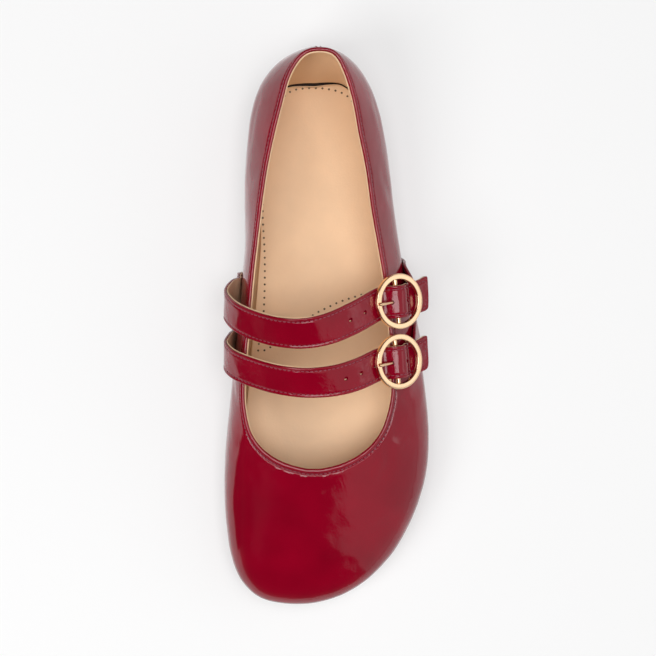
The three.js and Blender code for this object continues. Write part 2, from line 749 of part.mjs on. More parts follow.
const patent = new THREE.MeshStandardMaterial({ color: 0x8c001c, roughness: 0.15, metalness: 0 });
const tan = new THREE.MeshStandardMaterial({ color: 0xdeb487, roughness: 0.6, metalness: 0 });
const rubber = new THREE.MeshStandardMaterial({ color: 0x2a1a14, roughness: 0.8, metalness: 0 });
const brass = new THREE.MeshStandardMaterial({ color: 0xe8c58a, roughness: 0.2, metalness: 1 });

const shoe = new THREE.Group();

function addPiece(name, geometry, material) {
  const mesh = new THREE.Mesh(geometry, material);
  mesh.name = name;
  shoe.add(mesh);
}

addPiece('outsole', makeOutsole(), rubber);
addPiece('insole', makeInsole(), tan);
addPiece('upper', makeUpper(), patent);
for (const [name, design] of [['rear', REAR_STRAP], ['front', FRONT_STRAP]]) {
  addPiece(`${name}_strap`, makeStrap(design), patent);
  addPiece(`${name}_buckle_tab`, makeTab(design), patent);
  addPiece(`${name}_buckle`, makeBuckle(design), brass);
  addPiece(`${name}_prong`, makeProng(buckleFrame(design), PRONG_RADIUS, 16), brass);
}

// The middle of the footprint comes to the origin.
const footprint = new THREE.Box3().setFromObject(shoe);
const centre = footprint.getCenter(new THREE.Vector3());
shoe.position.set(-centre.x, -centre.y, 0);

export default shoe;
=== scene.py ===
"""Mary jane shoe with two buckled instep straps, dressed around its CAD frame.

Runs as a script in Blender 4.5. Sizes in the code are millimetres in the frame's own axes: X runs
from the inner side of the foot to the outer side, Y from toe to heel, Z up. Meshes are in metres.
"""

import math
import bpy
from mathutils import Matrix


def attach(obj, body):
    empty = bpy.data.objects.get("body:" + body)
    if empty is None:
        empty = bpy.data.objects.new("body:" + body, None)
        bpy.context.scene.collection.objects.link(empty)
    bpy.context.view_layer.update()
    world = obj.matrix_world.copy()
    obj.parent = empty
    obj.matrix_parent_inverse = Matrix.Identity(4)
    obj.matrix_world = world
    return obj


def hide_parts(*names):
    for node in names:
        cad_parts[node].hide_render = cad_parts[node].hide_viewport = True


bl_info = {
    "name": "Mary jane shoe",
    "version": (1, 0, 0),
    "blender": (4, 5, 0),
    "location": "View3D > Sidebar > Shoe",
    "description": "Builds a patent leather mary jane shoe with two buckled straps",
    "category": "Add Mesh",
}

import bmesh
import bpy
import numpy as np
from bpy.props import FloatProperty, FloatVectorProperty, PointerProperty
from mathutils import Matrix, Vector, noise

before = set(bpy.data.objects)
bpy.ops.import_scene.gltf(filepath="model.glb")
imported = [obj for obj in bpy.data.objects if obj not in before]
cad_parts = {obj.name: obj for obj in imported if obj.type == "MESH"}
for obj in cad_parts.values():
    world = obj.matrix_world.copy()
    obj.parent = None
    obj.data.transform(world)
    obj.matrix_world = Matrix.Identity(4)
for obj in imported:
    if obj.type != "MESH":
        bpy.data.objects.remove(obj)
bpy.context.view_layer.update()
MM = 0.001

# Sizes of the CAD model, from its source
LENGTH = 250
BALL_WIDTH = 93
HEEL_HEIGHT = 54
THROAT_HEIGHT = 41
UPPER_WALL = 2
FEATHER_TUCK = 3.5
GAP = 0.3
SOLE_THICKNESS = 4.5
SOLE_MARGIN = 1.3
TOE_SPRING = 5.5
HEEL_BEVEL = 1.2
ARCH_LIFT = 2
INSOLE_THICKNESS = 3.2
INSOLE_CUP = 1.4
STRAP_WIDTH = 14.2
STRAP_THICKNESS = 1.8
STRAP_TAIL = 6
TAB_WIDTH = 12
TAB_THICKNESS = 1.3
BAR_SHOW = 2.6
RING_FACE = 2.5
RING_THICKNESS = 2.2
BAR_RADIUS = 1
PRONG_RADIUS = 0.7
BUCKLE_TILT = 29
BUCKLE_TURN = 6
BUCKLE_FACING = -4
STRAP_LEAN = 29
TAIL_TURN = 16  # degrees, strap's tail turned to the heel beyond the ring
TAIL_ASIDE = 2.7  # tail's end moved to the heel
TAIL_MORE = 2.6  # longer tail than in the CAD model
TAIL_SLANT = 0.4  # slope of the cut end of the tail

# Sections from heel to toe. Widest line: place along as a share of the length, inner and outer side
# as shares of the ball width. Topline: the same three, and its height from throat 0 to heel 1.
# Then the height of the widest line as a share of the topline's, and the bow in degrees and the
# fullness of the arc between them.
SECTIONS = np.array([
    [0.0, -0.065, -0.065, 0.016, -0.068, -0.068, 1.0, 0.42, 9, 0.38],
    [0.022, -0.237, 0.113, 0.028, -0.157, 0.02, 0.99, 0.42, 9, 0.38],
    [0.06, -0.326, 0.194, 0.062, -0.215, 0.065, 0.945, 0.42, 10, 0.38],
    [0.108, -0.372, 0.245, 0.11, -0.251, 0.103, 0.845, 0.41, 11, 0.38],
    [0.156, -0.39, 0.275, 0.156, -0.282, 0.127, 0.71, 0.41, 12, 0.38],
    [0.22, -0.402, 0.303, 0.22, -0.318, 0.166, 0.47, 0.4, 12, 0.38],
    [0.284, -0.404, 0.326, 0.284, -0.343, 0.193, 0.25, 0.39, 12, 0.38],
    [0.348, -0.403, 0.352, 0.348, -0.364, 0.226, 0.06, 0.38, 12, 0.38],
    [0.412, -0.417, 0.383, 0.412, -0.383, 0.258, -0.08, 0.38, 12, 0.38],
    [0.48, -0.434, 0.419, 0.48, -0.398, 0.281, -0.17, 0.38, 12, 0.38],
    [0.548, -0.453, 0.456, 0.548, -0.414, 0.294, -0.23, 0.38, 12, 0.39],
    [0.62, -0.47, 0.485, 0.614, -0.423, 0.297, -0.28, 0.38, 13, 0.4],
    [0.688, -0.489, 0.5, 0.654, -0.412, 0.277, -0.28, 0.37, 14, 0.42],
    [0.748, -0.5, 0.495, 0.682, -0.391, 0.248, -0.24, 0.36, 14, 0.44],
    [0.808, -0.5, 0.46, 0.704, -0.356, 0.206, -0.18, 0.35, 12, 0.47],
    [0.868, -0.488, 0.392, 0.722, -0.306, 0.152, -0.12, 0.34, 10, 0.5],
    [0.92, -0.462, 0.301, 0.735, -0.25, 0.092, -0.07, 0.32, 8, 0.53],
    [0.956, -0.421, 0.2, 0.743, -0.195, 0.037, -0.03, 0.31, 6, 0.55],
    [0.982, -0.355, 0.086, 0.748, -0.143, -0.018, -0.01, 0.3, 5, 0.56],
    [1.0, -0.156, -0.156, 0.75, -0.08, -0.08, 0.0, 0.3, 5, 0.56],
])

# Each strap: rise of its arch above the upper's edge, rows of the arch and the buckle's middle as
# (across, along, height), roots of strap and tab as (along, slant), and the X of its holes.
STRAPS = {
    "rear": {
        "rise": 20,
        "arch": [
            (-0.468, 0.441, -0.45), (-0.498, 0.459, -0.158), (-0.464, 0.478, 0.194),
            (-0.387, 0.494, 0.582), (-0.27, 0.507, 0.89), (-0.15, 0.51, 1.0),
            (-0.032, 0.502, 0.96), (0.086, 0.484, 0.786),
        ],
        "buckle": (0.315, 0.4536, 0.289),
        "root": (0.42, 0.06),
        "tab": (0.388, 0.045),
        "holes": (6.7, 13.2, 19.6, 32.4),
    },
    "front": {
        "rise": 17.3,
        "arch": [
            (-0.478, 0.536, -0.45), (-0.498, 0.55, -0.182), (-0.464, 0.564, 0.11),
            (-0.382, 0.577, 0.555), (-0.27, 0.589, 0.861), (-0.13, 0.595, 1.0),
            (0.01, 0.591, 0.93), (0.112, 0.581, 0.769),
        ],
        "buckle": (0.317, 0.5596, 0.295),
        "root": (0.516, 0.06),
        "tab": (0.495, 0.045),
        "holes": (5.0, 11.8, 18.4, 32.4),
    },
}

# Strap over the bar: distance out as a share of the half opening, and share of the drop
OVER_BAR = [(0, 0), (0.28, 0.08), (0.56, 0.4), (0.82, 0.84), (1.02, 1.02), (1.3, 1.06)]

RING_INNER = STRAP_WIDTH / 2 + BAR_SHOW
RING_OUTER = RING_INNER + RING_FACE
BAR_DROP = RING_THICKNESS / 2 + BAR_RADIUS / 2
ROLL_RADIUS = BAR_RADIUS + GAP + max(TAB_THICKNESS, 2 * PRONG_RADIUS)
STRAP_CROWN = ROLL_RADIUS - BAR_DROP + GAP + STRAP_THICKNESS / 2
STRAP_UNDER = -(RING_THICKNESS / 2 + GAP + STRAP_THICKNESS / 2)
HALF_OPENING = math.sqrt(RING_INNER ** 2 - (STRAP_WIDTH / 2) ** 2)

# Leather and lining
SKIN = 1.3  # patent leather of the upper
LINING_TOP = 0.35  # lining's edge below the topline
STRAP_ROOM = 0.1  # more room between a strap and the upper
BEAD_FOOT = 2.9  # start of the folded edge below the topline
# Folded edge, from its stitched groove over the top to the inside: down from the topline, out
# from the face
BEAD = [
    (2.78, -0.04), (2.6, -0.16), (2.4, -0.3), (2.2, -0.34), (2.0, -0.24), (1.82, 0.02),
    (1.6, 0.22), (1.3, 0.34), (0.95, 0.38), (0.6, 0.34), (0.25, 0.22), (-0.02, 0.02),
    (-0.2, -0.24), (-0.28, -0.54), (-0.24, -0.84), (-0.08, -1.1), (0.2, -1.26), (0.6, -1.3),
]
FOLD_BACK = 1.4  # start of the leather's inner face below the topline
COUNTER_PAD = 9.4  # padding of the lining at the foot of the heel
PAD_OUTER = 0.037  # turns that it fades over on the outer side
PAD_INNER = 0.045
SOCK_STEP = 2.2  # edge of the footbed's sock above its board
SOCK_ROOM = 0.35  # sock's edge from the lining
SOCK_INNER = 3.4  # more of it along the inner side
SOCK_OUTER = 1.2  # more of it along the outer side
# Lining's edge below the topline: out from the leather's inner face, above the edge
LINING_RIM = [(-0.06, 0.0), (-0.16, 0.12), (-0.34, 0.18), (-0.54, 0.12), (SKIN - UPPER_WALL, 0.0)]
LINING_BACK = -0.06  # lining's hidden face from the leather
SPLIT = 0.62  # thickness of the lining under a strap's leather
BOND = 0.04  # between a strap's leather and its lining
LINING_PROUD = 0.12  # lining wider than the leather of a strap
HOLE_FLOOR = 0.12  # leather left under a strap hole that no prong uses
SLOT_ROOM = 0.25  # round a prong where it goes through the strap
STITCH_SINK = 0.12  # stitches of straps and tabs sunk into the leather
TOPLINE_SINK = 0.16
TIP_ROUND = 1.4  # rounded corners of a strap's tip
RING_SOFT = 0.42  # rounded edges of a buckle's ring

# Back seam and the pull of the stitches on the leather
SEAM_ROUND = 640  # turn to mm at the back seam
SEAM_SPAN = 0.0036  # turns with close points beside the back seam
SEAM_CLEAR = 0.0045  # turns with no other points there
SEAM_DEPTH = 0.3
SEAM_WIDTH = 0.45
SEAM_ROWS = 1.5  # stitch rows beside the back seam
PULL_DEPTH = 0.2
PULL_WIDTH = 0.7
PULL_LIFT = 0.3  # middle of the pulled band above the stitches

# Waves of the leather: height, size of the lumps and seed of the noise
UPPER_WAVES = ((0.1, 13, 3.1), (0.045, 5, 8.7))
BEAD_WAVES = (0.09, 3.0, 1.9)
LINING_WAVES = (0.05, 9, 5.3)
# Creases across a strap: height, size along, size across and seed. Groove of a stitch row and
# raised band beside it: height, way from the row and half width
STRAP_WAVES = ((0.1, 2.4, 5.5, 0), (0.16, 7, 9, 4))
STRAP_BANDS = ((-0.24, 0, 0.42), (0.09, 0.85, 0.4))

# Points round the shoe and up its side, and along a stitch row
UPPER_TURNS = 880
UPPER_ROWS = 52
LINING_TURNS = 400
LINING_ROWS = 35
SOLE_TURNS = 420
ROW_POINTS = 2400
SHEET_COLUMNS = 43
RING_SEGMENTS = 128
WELD = 2e-6  # metres

# Soft creases of the upper: turn and rise of both ends, depth and half width of
# the trough. Turn goes once round the shoe from the heel past the outer side, rise from feather
# edge to top. Beside each trough stands a lower ridge, at so many half widths.
RIDGE_SHARE = 0.4
RIDGE_AWAY = 2.1
RIDGE_WIDTH = 1.1
CREASES = [
    (0.355, 0.93, 0.405, 0.70, 0.30, 2.6),
    (0.375, 0.97, 0.430, 0.82, 0.22, 2.0),
    (0.330, 0.90, 0.345, 0.60, 0.26, 2.8),
    (0.640, 0.94, 0.600, 0.74, 0.30, 2.6),
    (0.615, 0.97, 0.570, 0.84, 0.20, 2.0),
    (0.665, 0.90, 0.655, 0.58, 0.26, 2.8),
    (0.450, 0.90, 0.500, 0.86, 0.16, 2.4),
    (0.505, 0.80, 0.560, 0.76, 0.14, 2.8),
    (0.300, 0.88, 0.285, 0.45, 0.24, 3.0),
    (0.705, 0.90, 0.720, 0.48, 0.26, 3.0),
    (0.225, 0.80, 0.205, 0.40, 0.20, 2.8),
    (0.775, 0.82, 0.795, 0.42, 0.20, 2.8),
    (0.120, 0.78, 0.145, 0.45, 0.20, 3.0),
    (0.880, 0.80, 0.860, 0.45, 0.20, 3.0),
    (0.060, 0.62, 0.095, 0.55, 0.16, 2.6),
    (0.940, 0.60, 0.905, 0.54, 0.16, 2.6),
    (0.400, 0.42, 0.445, 0.50, 0.16, 3.2),
    (0.590, 0.44, 0.545, 0.52, 0.16, 3.2),
]


# Shape of the last

def closed_spline(stops, values, places):
    """Values of smooth closed curves through rows of values at stops, at places from 0 to 1."""
    width = np.append(stops[1:], 1 + stops[0]) - stops
    before = np.roll(width, 1)[:, None]
    after = width[:, None]
    step = np.roll(values, -1, axis=0) - values
    back = np.roll(step, 1, axis=0)
    slope = (back / before * after + step / after * before) / (before + after)
    i = np.clip(np.searchsorted(stops, places, side="right") - 1, 0, len(stops) - 1)
    j = (i + 1) % len(stops)
    t = ((places - stops[i]) / width[i])[:, None]
    w = after[i]
    return (
        (2 * t**3 - 3 * t**2 + 1) * values[i]
        + (t**3 - 2 * t**2 + t) * w * slope[i]
        + (3 * t**2 - 2 * t**3) * values[j]
        + (t**3 - t**2) * w * slope[j]
    )


def blurred(values, sigma):
    """Rows of values on a closed loop, smoothed over sigma of a turn."""
    waves = np.fft.rfft(values, axis=0)
    order = np.arange(len(waves))[:, None]
    return np.fft.irfft(waves * np.exp(-2 * (math.pi * sigma * order) ** 2), len(values), axis=0)


def around_table(count=16384, sigma=0.006):
    """Curves round the shoe at count turns: x, y, top x, top y, top z, widest, bow, full."""
    def side(rows, x, top_x):
        return np.stack([
            BALL_WIDTH * rows[:, x], LENGTH * (0.5 - rows[:, 0]),
            BALL_WIDTH * rows[:, top_x], LENGTH * (0.5 - rows[:, 3]),
            THROAT_HEIGHT + (HEEL_HEIGHT - THROAT_HEIGHT) * rows[:, 6],
            rows[:, 7], rows[:, 8], rows[:, 9],
        ], axis=1)

    rows = np.concatenate([side(SECTIONS, 2, 5), side(SECTIONS[1:-1], 1, 4)[::-1]])
    step = np.hypot(*(np.roll(rows, -1, axis=0) - rows)[:, :2].T)
    stops = np.concatenate([[0], np.cumsum(step)[:-1]]) / step.sum()
    exact = closed_spline(stops, rows, np.arange(count) / count)
    smooth = blurred(exact, sigma)
    return smooth + blurred(exact - smooth, sigma)


AROUND = around_table()


def curves(turns):
    """The eight curves round the shoe at turns, one row each."""
    count = len(AROUND)
    place = (np.asarray(turns, float) % 1) * count
    low = np.floor(place).astype(int) % count
    share = (place - np.floor(place))[:, None]
    return AROUND[low] * (1 - share) + AROUND[(low + 1) % count] * share


def smooth_step(x, low, high):
    t = np.clip((x - low) / (high - low), 0, 1)
    return t * t * (3 - 2 * t)


def sole_lift(x, y):
    """Lift of the sole's underside above the floor."""
    along = 0.5 - y / LENGTH
    toe = TOE_SPRING * np.maximum(0, (along - 0.84) / 0.16) ** 2
    heel = HEEL_BEVEL * np.maximum(0, (0.06 - along) / 0.06) ** 2
    waist = smooth_step(along, 0.3, 0.42) * (1 - smooth_step(along, 0.44, 0.58))
    return toe + heel + ARCH_LIFT * waist * smooth_step(-x / BALL_WIDTH, 0.08, 0.4)


def sole_top(x, y):
    return SOLE_THICKNESS + sole_lift(x, y)


def outline(turns, inset):
    """Widest line moved in towards the middle of the shoe, as seen from above."""
    turns = np.asarray(turns, float)
    here = curves(turns)[:, :2]
    step = curves(turns + 5e-4)[:, :2] - curves(turns - 5e-4)[:, :2]
    size = np.hypot(step[:, 0], step[:, 1])
    inset = np.broadcast_to(inset, size.shape)
    return here + np.stack([step[:, 1], -step[:, 0]], axis=1) / size[:, None] * inset[:, None]


def section_controls(turns):
    """Control points of the two arcs of the upper's outer face at each turn."""
    rows = curves(turns)
    foot = outline(turns, FEATHER_TUCK)
    wide = outline(turns, 0)
    top = rows[:, 2:5]
    lift = sole_lift(foot[:, 0], foot[:, 1])
    bottom_z = SOLE_THICKNESS + lift + GAP
    widest_z = rows[:, 5] * top[:, 2] + lift
    belly = widest_z - bottom_z
    flat = top[:, :2] - wide
    run = np.hypot(flat[:, 0], flat[:, 1])
    climb = top[:, 2] - widest_z
    chord = np.hypot(run, climb)
    rise = np.arctan2(climb, run) - np.radians(rows[:, 6])
    full = rows[:, 7]
    into = np.column_stack([flat / run[:, None] * np.cos(rise)[:, None], np.sin(rise)])
    bottom = np.column_stack([foot, bottom_z])
    widest = np.column_stack([wide, widest_z])
    lower = [
        bottom,
        np.column_stack([foot * 0.45 + wide * 0.55, bottom_z + 0.2 * belly]),
        np.column_stack([wide, widest_z - 0.5 * belly]),
        widest,
    ]
    upper = [
        widest,
        np.column_stack([wide, widest_z + full * climb]),
        top - into * (0.9 * full * chord)[:, None],
        top,
    ]
    return np.stack([np.stack(lower, axis=1), np.stack(upper, axis=1)], axis=1)


def arc_points(controls, places):
    """Points of the two joined arcs at places from 0 to 2."""
    second = (places >= 1)[..., None, None]
    arcs = np.where(second, controls[:, None, 1], controls[:, None, 0])
    t = np.where(places >= 1, places - 1, places)[..., None]
    return (
        (1 - t) ** 3 * arcs[:, :, 0]
        + 3 * t * (1 - t) ** 2 * arcs[:, :, 1]
        + 3 * t**2 * (1 - t) * arcs[:, :, 2]
        + t**3 * arcs[:, :, 3]
    )


def walked_lengths(controls, samples=128):
    places = np.broadcast_to(np.linspace(0, 2 - 1e-9, samples + 1), (len(controls), samples + 1))
    points = arc_points(controls, places)
    steps = np.linalg.norm(np.diff(points, axis=1), axis=2)
    return places[0], np.concatenate([np.zeros((len(steps), 1)), np.cumsum(steps, axis=1)], axis=1)


def face(turns, rises):
    """Outer face of the upper: one row of points a turn, one column a rise."""
    turns = np.asarray(turns, float)
    rises = np.broadcast_to(rises, (len(turns), np.shape(rises)[-1]))
    controls = section_controls(turns)
    places, walked = walked_lengths(controls)
    found = np.stack([
        np.interp(np.clip(rise, 0, 1) * line[-1], line, places) for rise, line in zip(rises, walked)
    ])
    return arc_points(controls, found)


def face_length(turns):
    return walked_lengths(section_controls(np.asarray(turns, float)))[1][:, -1]


def mm(length):
    """A length of the settings, which hold metres, in millimetres."""
    return length / MM


def unit(vectors):
    return vectors / np.linalg.norm(vectors, axis=-1, keepdims=True)


def face_frame(turns, rises):
    """Points, outward normals and upward directions of the upper's face."""
    turns = np.asarray(turns, float)
    rises = np.broadcast_to(rises, (len(turns), np.shape(rises)[-1]))
    step = 1e-3
    up = unit(face(turns, np.minimum(rises + step, 1)) - face(turns, np.maximum(rises - step, 0)))
    side = face(turns + step, rises) - face(turns - step, rises)
    return face(turns, rises), unit(np.cross(up, side)), up


def inner_wall(turns, height, clearance, wall=UPPER_WALL):
    """Points of the upper's inner face at a height for each turn, moved in by a clearance."""
    rises = np.linspace(0, 0.6, 61)
    points, normals, _ = face_frame(turns, rises)
    inside = points - normals * wall
    found = []
    for line, normal, z, room in zip(inside, normals, height, clearance):
        place = np.interp(z, line[:, 2], np.arange(61))
        x, y = (np.interp(place, np.arange(61), line[:, k]) for k in (0, 1))
        out = np.array([np.interp(place, np.arange(61), normal[:, k]) for k in (0, 1)])
        out /= np.linalg.norm(out)
        found.append((x - out[0] * room, y - out[1] * room, z))
    return np.array(found)


def turn_at(along, side):
    """Turn at which the widest line passes a place along the shoe."""
    y = LENGTH * (0.5 - along)
    low, high = (0.02, 0.45) if side == "outer" else (0.55, 0.98)
    for _ in range(40):
        middle = (low + high) / 2
        if (curves([middle])[0, 1] > y) == (side == "outer"):
            low = middle
        else:
            high = middle
    return (low + high) / 2


# Meshes

def skin_faces(rows, columns, wrap_rows, wrap_columns):
    """Quads of a grid of points."""
    index = np.arange(rows * columns).reshape(rows, columns)
    if wrap_rows:
        index = np.vstack([index, index[:1]])
    if wrap_columns:
        index = np.hstack([index, index[:, :1]])
    a, b, c, d = index[:-1, :-1], index[:-1, 1:], index[1:, 1:], index[1:, :-1]
    return np.stack([a, b, c, d], axis=-1).reshape(-1, 4)


def tube_faces(rows, columns):
    """Faces of a tube of rows of points, closed at both ends."""
    faces = skin_faces(rows, columns, False, True).tolist()
    last = (rows - 1) * columns
    return faces + [list(range(columns))[::-1], [last + k for k in range(columns)]]


def new_object(name, mesh, materials):
    obj = bpy.data.objects.new(name, mesh)
    bpy.context.scene.collection.objects.link(obj)
    for material in materials:
        mesh.materials.append(material)
    return obj


def solid(name, parts, material, sharp=None):
    """Closed mesh object from (points in mm, faces) parts, welded and facing out."""
    mesh = bpy.data.meshes.new(name)
    points, faces, count = [], [], 0
    for part_points, part_faces in parts:
        flat = np.asarray(part_points, float).reshape(-1, 3)
        points.append(flat)
        faces.extend([[corner + count for corner in corners] for corners in part_faces])
        count += len(flat)
    mesh.from_pydata((np.concatenate(points) * MM).tolist(), [], faces)
    work = bmesh.new()
    work.from_mesh(mesh)
    bmesh.ops.remove_doubles(work, verts=work.verts, dist=WELD)
    bmesh.ops.dissolve_degenerate(work, edges=work.edges, dist=WELD)
    bmesh.ops.recalc_face_normals(work, faces=work.faces)
    if work.calc_volume(signed=True) < 0:
        bmesh.ops.reverse_faces(work, faces=work.faces)
    work.to_mesh(mesh)
    work.free()
    mesh.shade_smooth()
    if sharp is not None:
        mesh.set_sharp_from_angle(angle=math.radians(sharp))
    return new_object(name, mesh, [material])


def fit(piece, slot, *nodes):
    """Hangs a finished piece on the shoe's one body."""
    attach(piece, "root")
    if nodes:
        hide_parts(*nodes)
    return piece


def evaluated_copy(obj):
    """Plain mesh object of what an object's modifiers make, in its place."""
    bpy.context.view_layer.update()
    graph = bpy.context.evaluated_depsgraph_get()
    mesh = bpy.data.meshes.new_from_object(obj.evaluated_get(graph), depsgraph=graph)
    name = obj.name
    bpy.data.objects.remove(obj)
    copy = bpy.data.objects.new(name, mesh)
    bpy.context.scene.collection.objects.link(copy)
    return copy


def volume_of(mesh):
    """Volume of a closed mesh, negative where its faces point inwards."""
    work = bmesh.new()
    work.from_mesh(mesh)
    volume = work.calc_volume(signed=True)
    work.free()
    return volume


def cut(obj, cutters):
    """Takes closed cutter objects out of an object."""
    for cutter in cutters:
        modifier = obj.modifiers.new("Hole", "BOOLEAN")
        modifier.operation = "DIFFERENCE"
        modifier.solver = "MANIFOLD"
        modifier.object = cutter
    before = volume_of(obj.data)
    result = evaluated_copy(obj)
    if not 0.8 * before < volume_of(result.data) < before:
        raise ValueError(f"cutting holes into {result.name} failed")
    for cutter in cutters:
        bpy.data.objects.remove(cutter)
    result.data.set_sharp_from_angle(angle=math.radians(40))
    return result


def grain(points, height, size, seed):
    """Soft noise up and down by height at points in mm, with lumps of about size mm."""
    flat = points.reshape(-1, 3) / size + seed
    return height * np.array([noise.noise(Vector(p)) for p in flat]).reshape(points.shape[:-1])


# Upper, lining, footbed and outsole

def seamed_turns(count):
    """Turns round the shoe, closer together at the back seam."""
    near = np.linspace(-SEAM_SPAN, SEAM_SPAN, 19)
    even = np.arange(count) / count
    even = even[(even > SEAM_CLEAR) & (even < 1 - SEAM_CLEAR)]
    return np.concatenate([near[near >= 0], even, 1 + near[near < 0]])


def crease_lift(points, settings):
    """How far the soft creases raise or sink points of the upper's face."""
    lift = np.zeros(points.shape[:-1])
    for turn_a, rise_a, turn_b, rise_b, depth, width in CREASES:
        steps = np.linspace(0, 1, 15)
        wave = 0.006 * np.sin(steps * 5.1 + 40 * turn_a)
        spine = np.concatenate([
            face([turn_a + (turn_b - turn_a) * t + w], [rise_a + (rise_b - rise_a) * t])[0]
            for t, w in zip(steps, wave)
        ])
        gap = np.linalg.norm(points[:, :, None] - spine, axis=-1)
        distance = gap.min(axis=-1)
        taper = np.sin(np.pi * np.clip(steps[gap.argmin(axis=-1)], 0.04, 0.96)) ** 0.7
        trough = np.exp(-((distance / width) ** 2))
        ridge = np.exp(-(((distance - RIDGE_AWAY * width) / (RIDGE_WIDTH * width)) ** 2))
        lift += depth * taper * (RIDGE_SHARE * ridge - trough)
    return lift * settings.crease_depth


def topline_row(settings):
    """Turns, points, normals and way walked of the stitch row below the topline."""
    turns = np.arange(ROW_POINTS) / ROW_POINTS
    length = face_length(turns)[:, None]
    points, normals, _ = face_frame(turns, 1 - mm(settings.topline_inset) / length)
    points, normals = points[:, 0], normals[:, 0]
    steps = np.linalg.norm(np.roll(points, -1, axis=0) - points, axis=1)
    return turns, points, normals, np.concatenate([[0], np.cumsum(steps)[:-1]])


def make_patent_upper(settings):
    """Patent leather of the upper, from the feather edge over the folded edge to the inside."""
    turns = seamed_turns(UPPER_TURNS)
    length = face_length(turns)[:, None]
    body = np.linspace(0, 1, UPPER_ROWS)
    down, out_of_face = np.array(BEAD).T
    inside = np.linspace(1, 0, 8)
    rises = np.concatenate([
        body * (1 - BEAD_FOOT / length),
        1 - np.maximum(down, 0) / length,
        inside * (1 - FOLD_BACK / length),
    ], axis=1)
    flat = np.zeros(len(body))
    out = np.concatenate([flat, out_of_face, np.full(len(inside), -SKIN)])
    above = np.concatenate([flat, np.maximum(-down, 0), np.zeros(len(inside))])
    points, normals, ups = face_frame(turns, rises)
    lift = np.zeros(points.shape[:-1])

    shown = points[:, :len(body)]
    fade = smooth_step(body, 0, 0.1) * (1 - smooth_step(body, 0.95, 1.0))
    waves = sum(grain(shown, *wave) for wave in UPPER_WAVES)
    lift[:, :len(body)] = (crease_lift(shown, settings) + waves) * fade
    away = np.minimum(turns, 1 - turns)[:, None] * SEAM_ROUND
    seam = SEAM_DEPTH * np.exp(-((away / SEAM_WIDTH) ** 2)) * smooth_step(body, 0, 0.03)
    lift[:, :len(body)] -= seam

    row_turns, _, _, walked = topline_row(settings)
    walk = np.interp(turns, row_turns, walked)[:, None]
    pulled = 0.5 + 0.5 * np.cos(2 * math.pi * walk / mm(settings.stitch_pitch))
    middle = mm(settings.topline_inset) - PULL_LIFT
    near_row = np.exp(-(((down - middle) / PULL_WIDTH) ** 2))
    bead = slice(len(body), len(body) + len(down))
    lift[:, bead] = grain(points[:, bead], *BEAD_WAVES) - PULL_DEPTH * pulled * near_row

    points = points + normals * (out + lift)[..., None] + ups * above[:, None]
    faces = skin_faces(len(turns), rises.shape[1], True, True).tolist()
    leather = patent_leather("Patent leather", settings)
    return fit(solid("upper_leather", [(points, faces)], leather), "red_patent", "upper")


def heel_share(turns):
    """How much of the heel's padding a turn has, from 0 to 1."""
    away = (turns + 0.5) % 1 - 0.5
    return np.exp(-((away / np.where(away > 0, PAD_OUTER, PAD_INNER)) ** 2))


def make_lining(settings):
    """Lining inside the upper, with its thin rim beside the folded edge and the padded heel."""
    turns = np.arange(LINING_TURNS) / LINING_TURNS
    length = face_length(turns)[:, None]
    down = np.linspace(0, 1, LINING_ROWS + 1)[1:]
    top = 1 - LINING_TOP / length
    rises = np.concatenate([
        top * np.linspace(0.05, 0.985, 5), top * np.ones((1, 5)), top * (0.994 - down * 0.944),
    ], axis=1)
    rim_out, rim_above = np.array(LINING_RIM).T
    out = np.concatenate([[LINING_BACK - SKIN] * 5, rim_out - SKIN, [-UPPER_WALL] * len(down)])
    above = np.concatenate([[0] * 5, rim_above, [0] * len(down)])
    points, normals, ups = face_frame(turns, rises)
    points = points + normals * out[:, None] + ups * above[:, None]
    padding = COUNTER_PAD * heel_share(turns)[:, None] * smooth_step(down, 0.04, 0.9)
    soft = grain(points[:, -len(down):], *LINING_WAVES) - padding
    points[:, -len(down):] += normals[:, -len(down):] * soft[..., None]
    faces = skin_faces(len(turns), rises.shape[1], True, True).tolist()
    leather = lining_leather("Lining leather", settings)
    return fit(solid("lining", [(points, faces)], leather), "tan_leather")


def cap(ring, columns, height):
    """Grid across a closed ring that starts at the heel; height takes x, y and the place across."""
    half = len(ring) // 2
    outer = ring[: half + 1]
    inner = np.concatenate([ring[:1], ring[:half - 1:-1]])
    across = np.linspace(0, 1, columns + 1)[None, :, None]
    points = outer[:, None] * (1 - across) + inner[:, None] * across
    inside = points[1:-1, 1:-1]
    inside[..., 2] = height(inside[..., 0], inside[..., 1], across[0, 1:-1, 0])
    return points, skin_faces(half + 1, columns + 1, False, False).tolist()


def footbed_height(x, y, across):
    """Top of the footbed, cupped at its rim from the heel to the waist."""
    along = 0.5 - y / LENGTH
    rim = np.abs(2 * across - 1) ** 3
    heel = 1 - smooth_step(along, 0.3, 0.62)
    return sole_top(x, y) + GAP + INSOLE_THICKNESS + INSOLE_CUP * rim * heel


def footbed_room(turns):
    """Clearance of the insole board and of the sock on it from the upper's inner face."""
    inner = smooth_step(turns, 0.6, 0.68) * (1 - smooth_step(turns, 0.86, 0.95))
    outer = smooth_step(turns, 0.05, 0.14) * (1 - smooth_step(turns, 0.32, 0.4))
    board = GAP + COUNTER_PAD * heel_share(turns)
    return board, board + SOCK_ROOM + SOCK_INNER * inner + SOCK_OUTER * outer


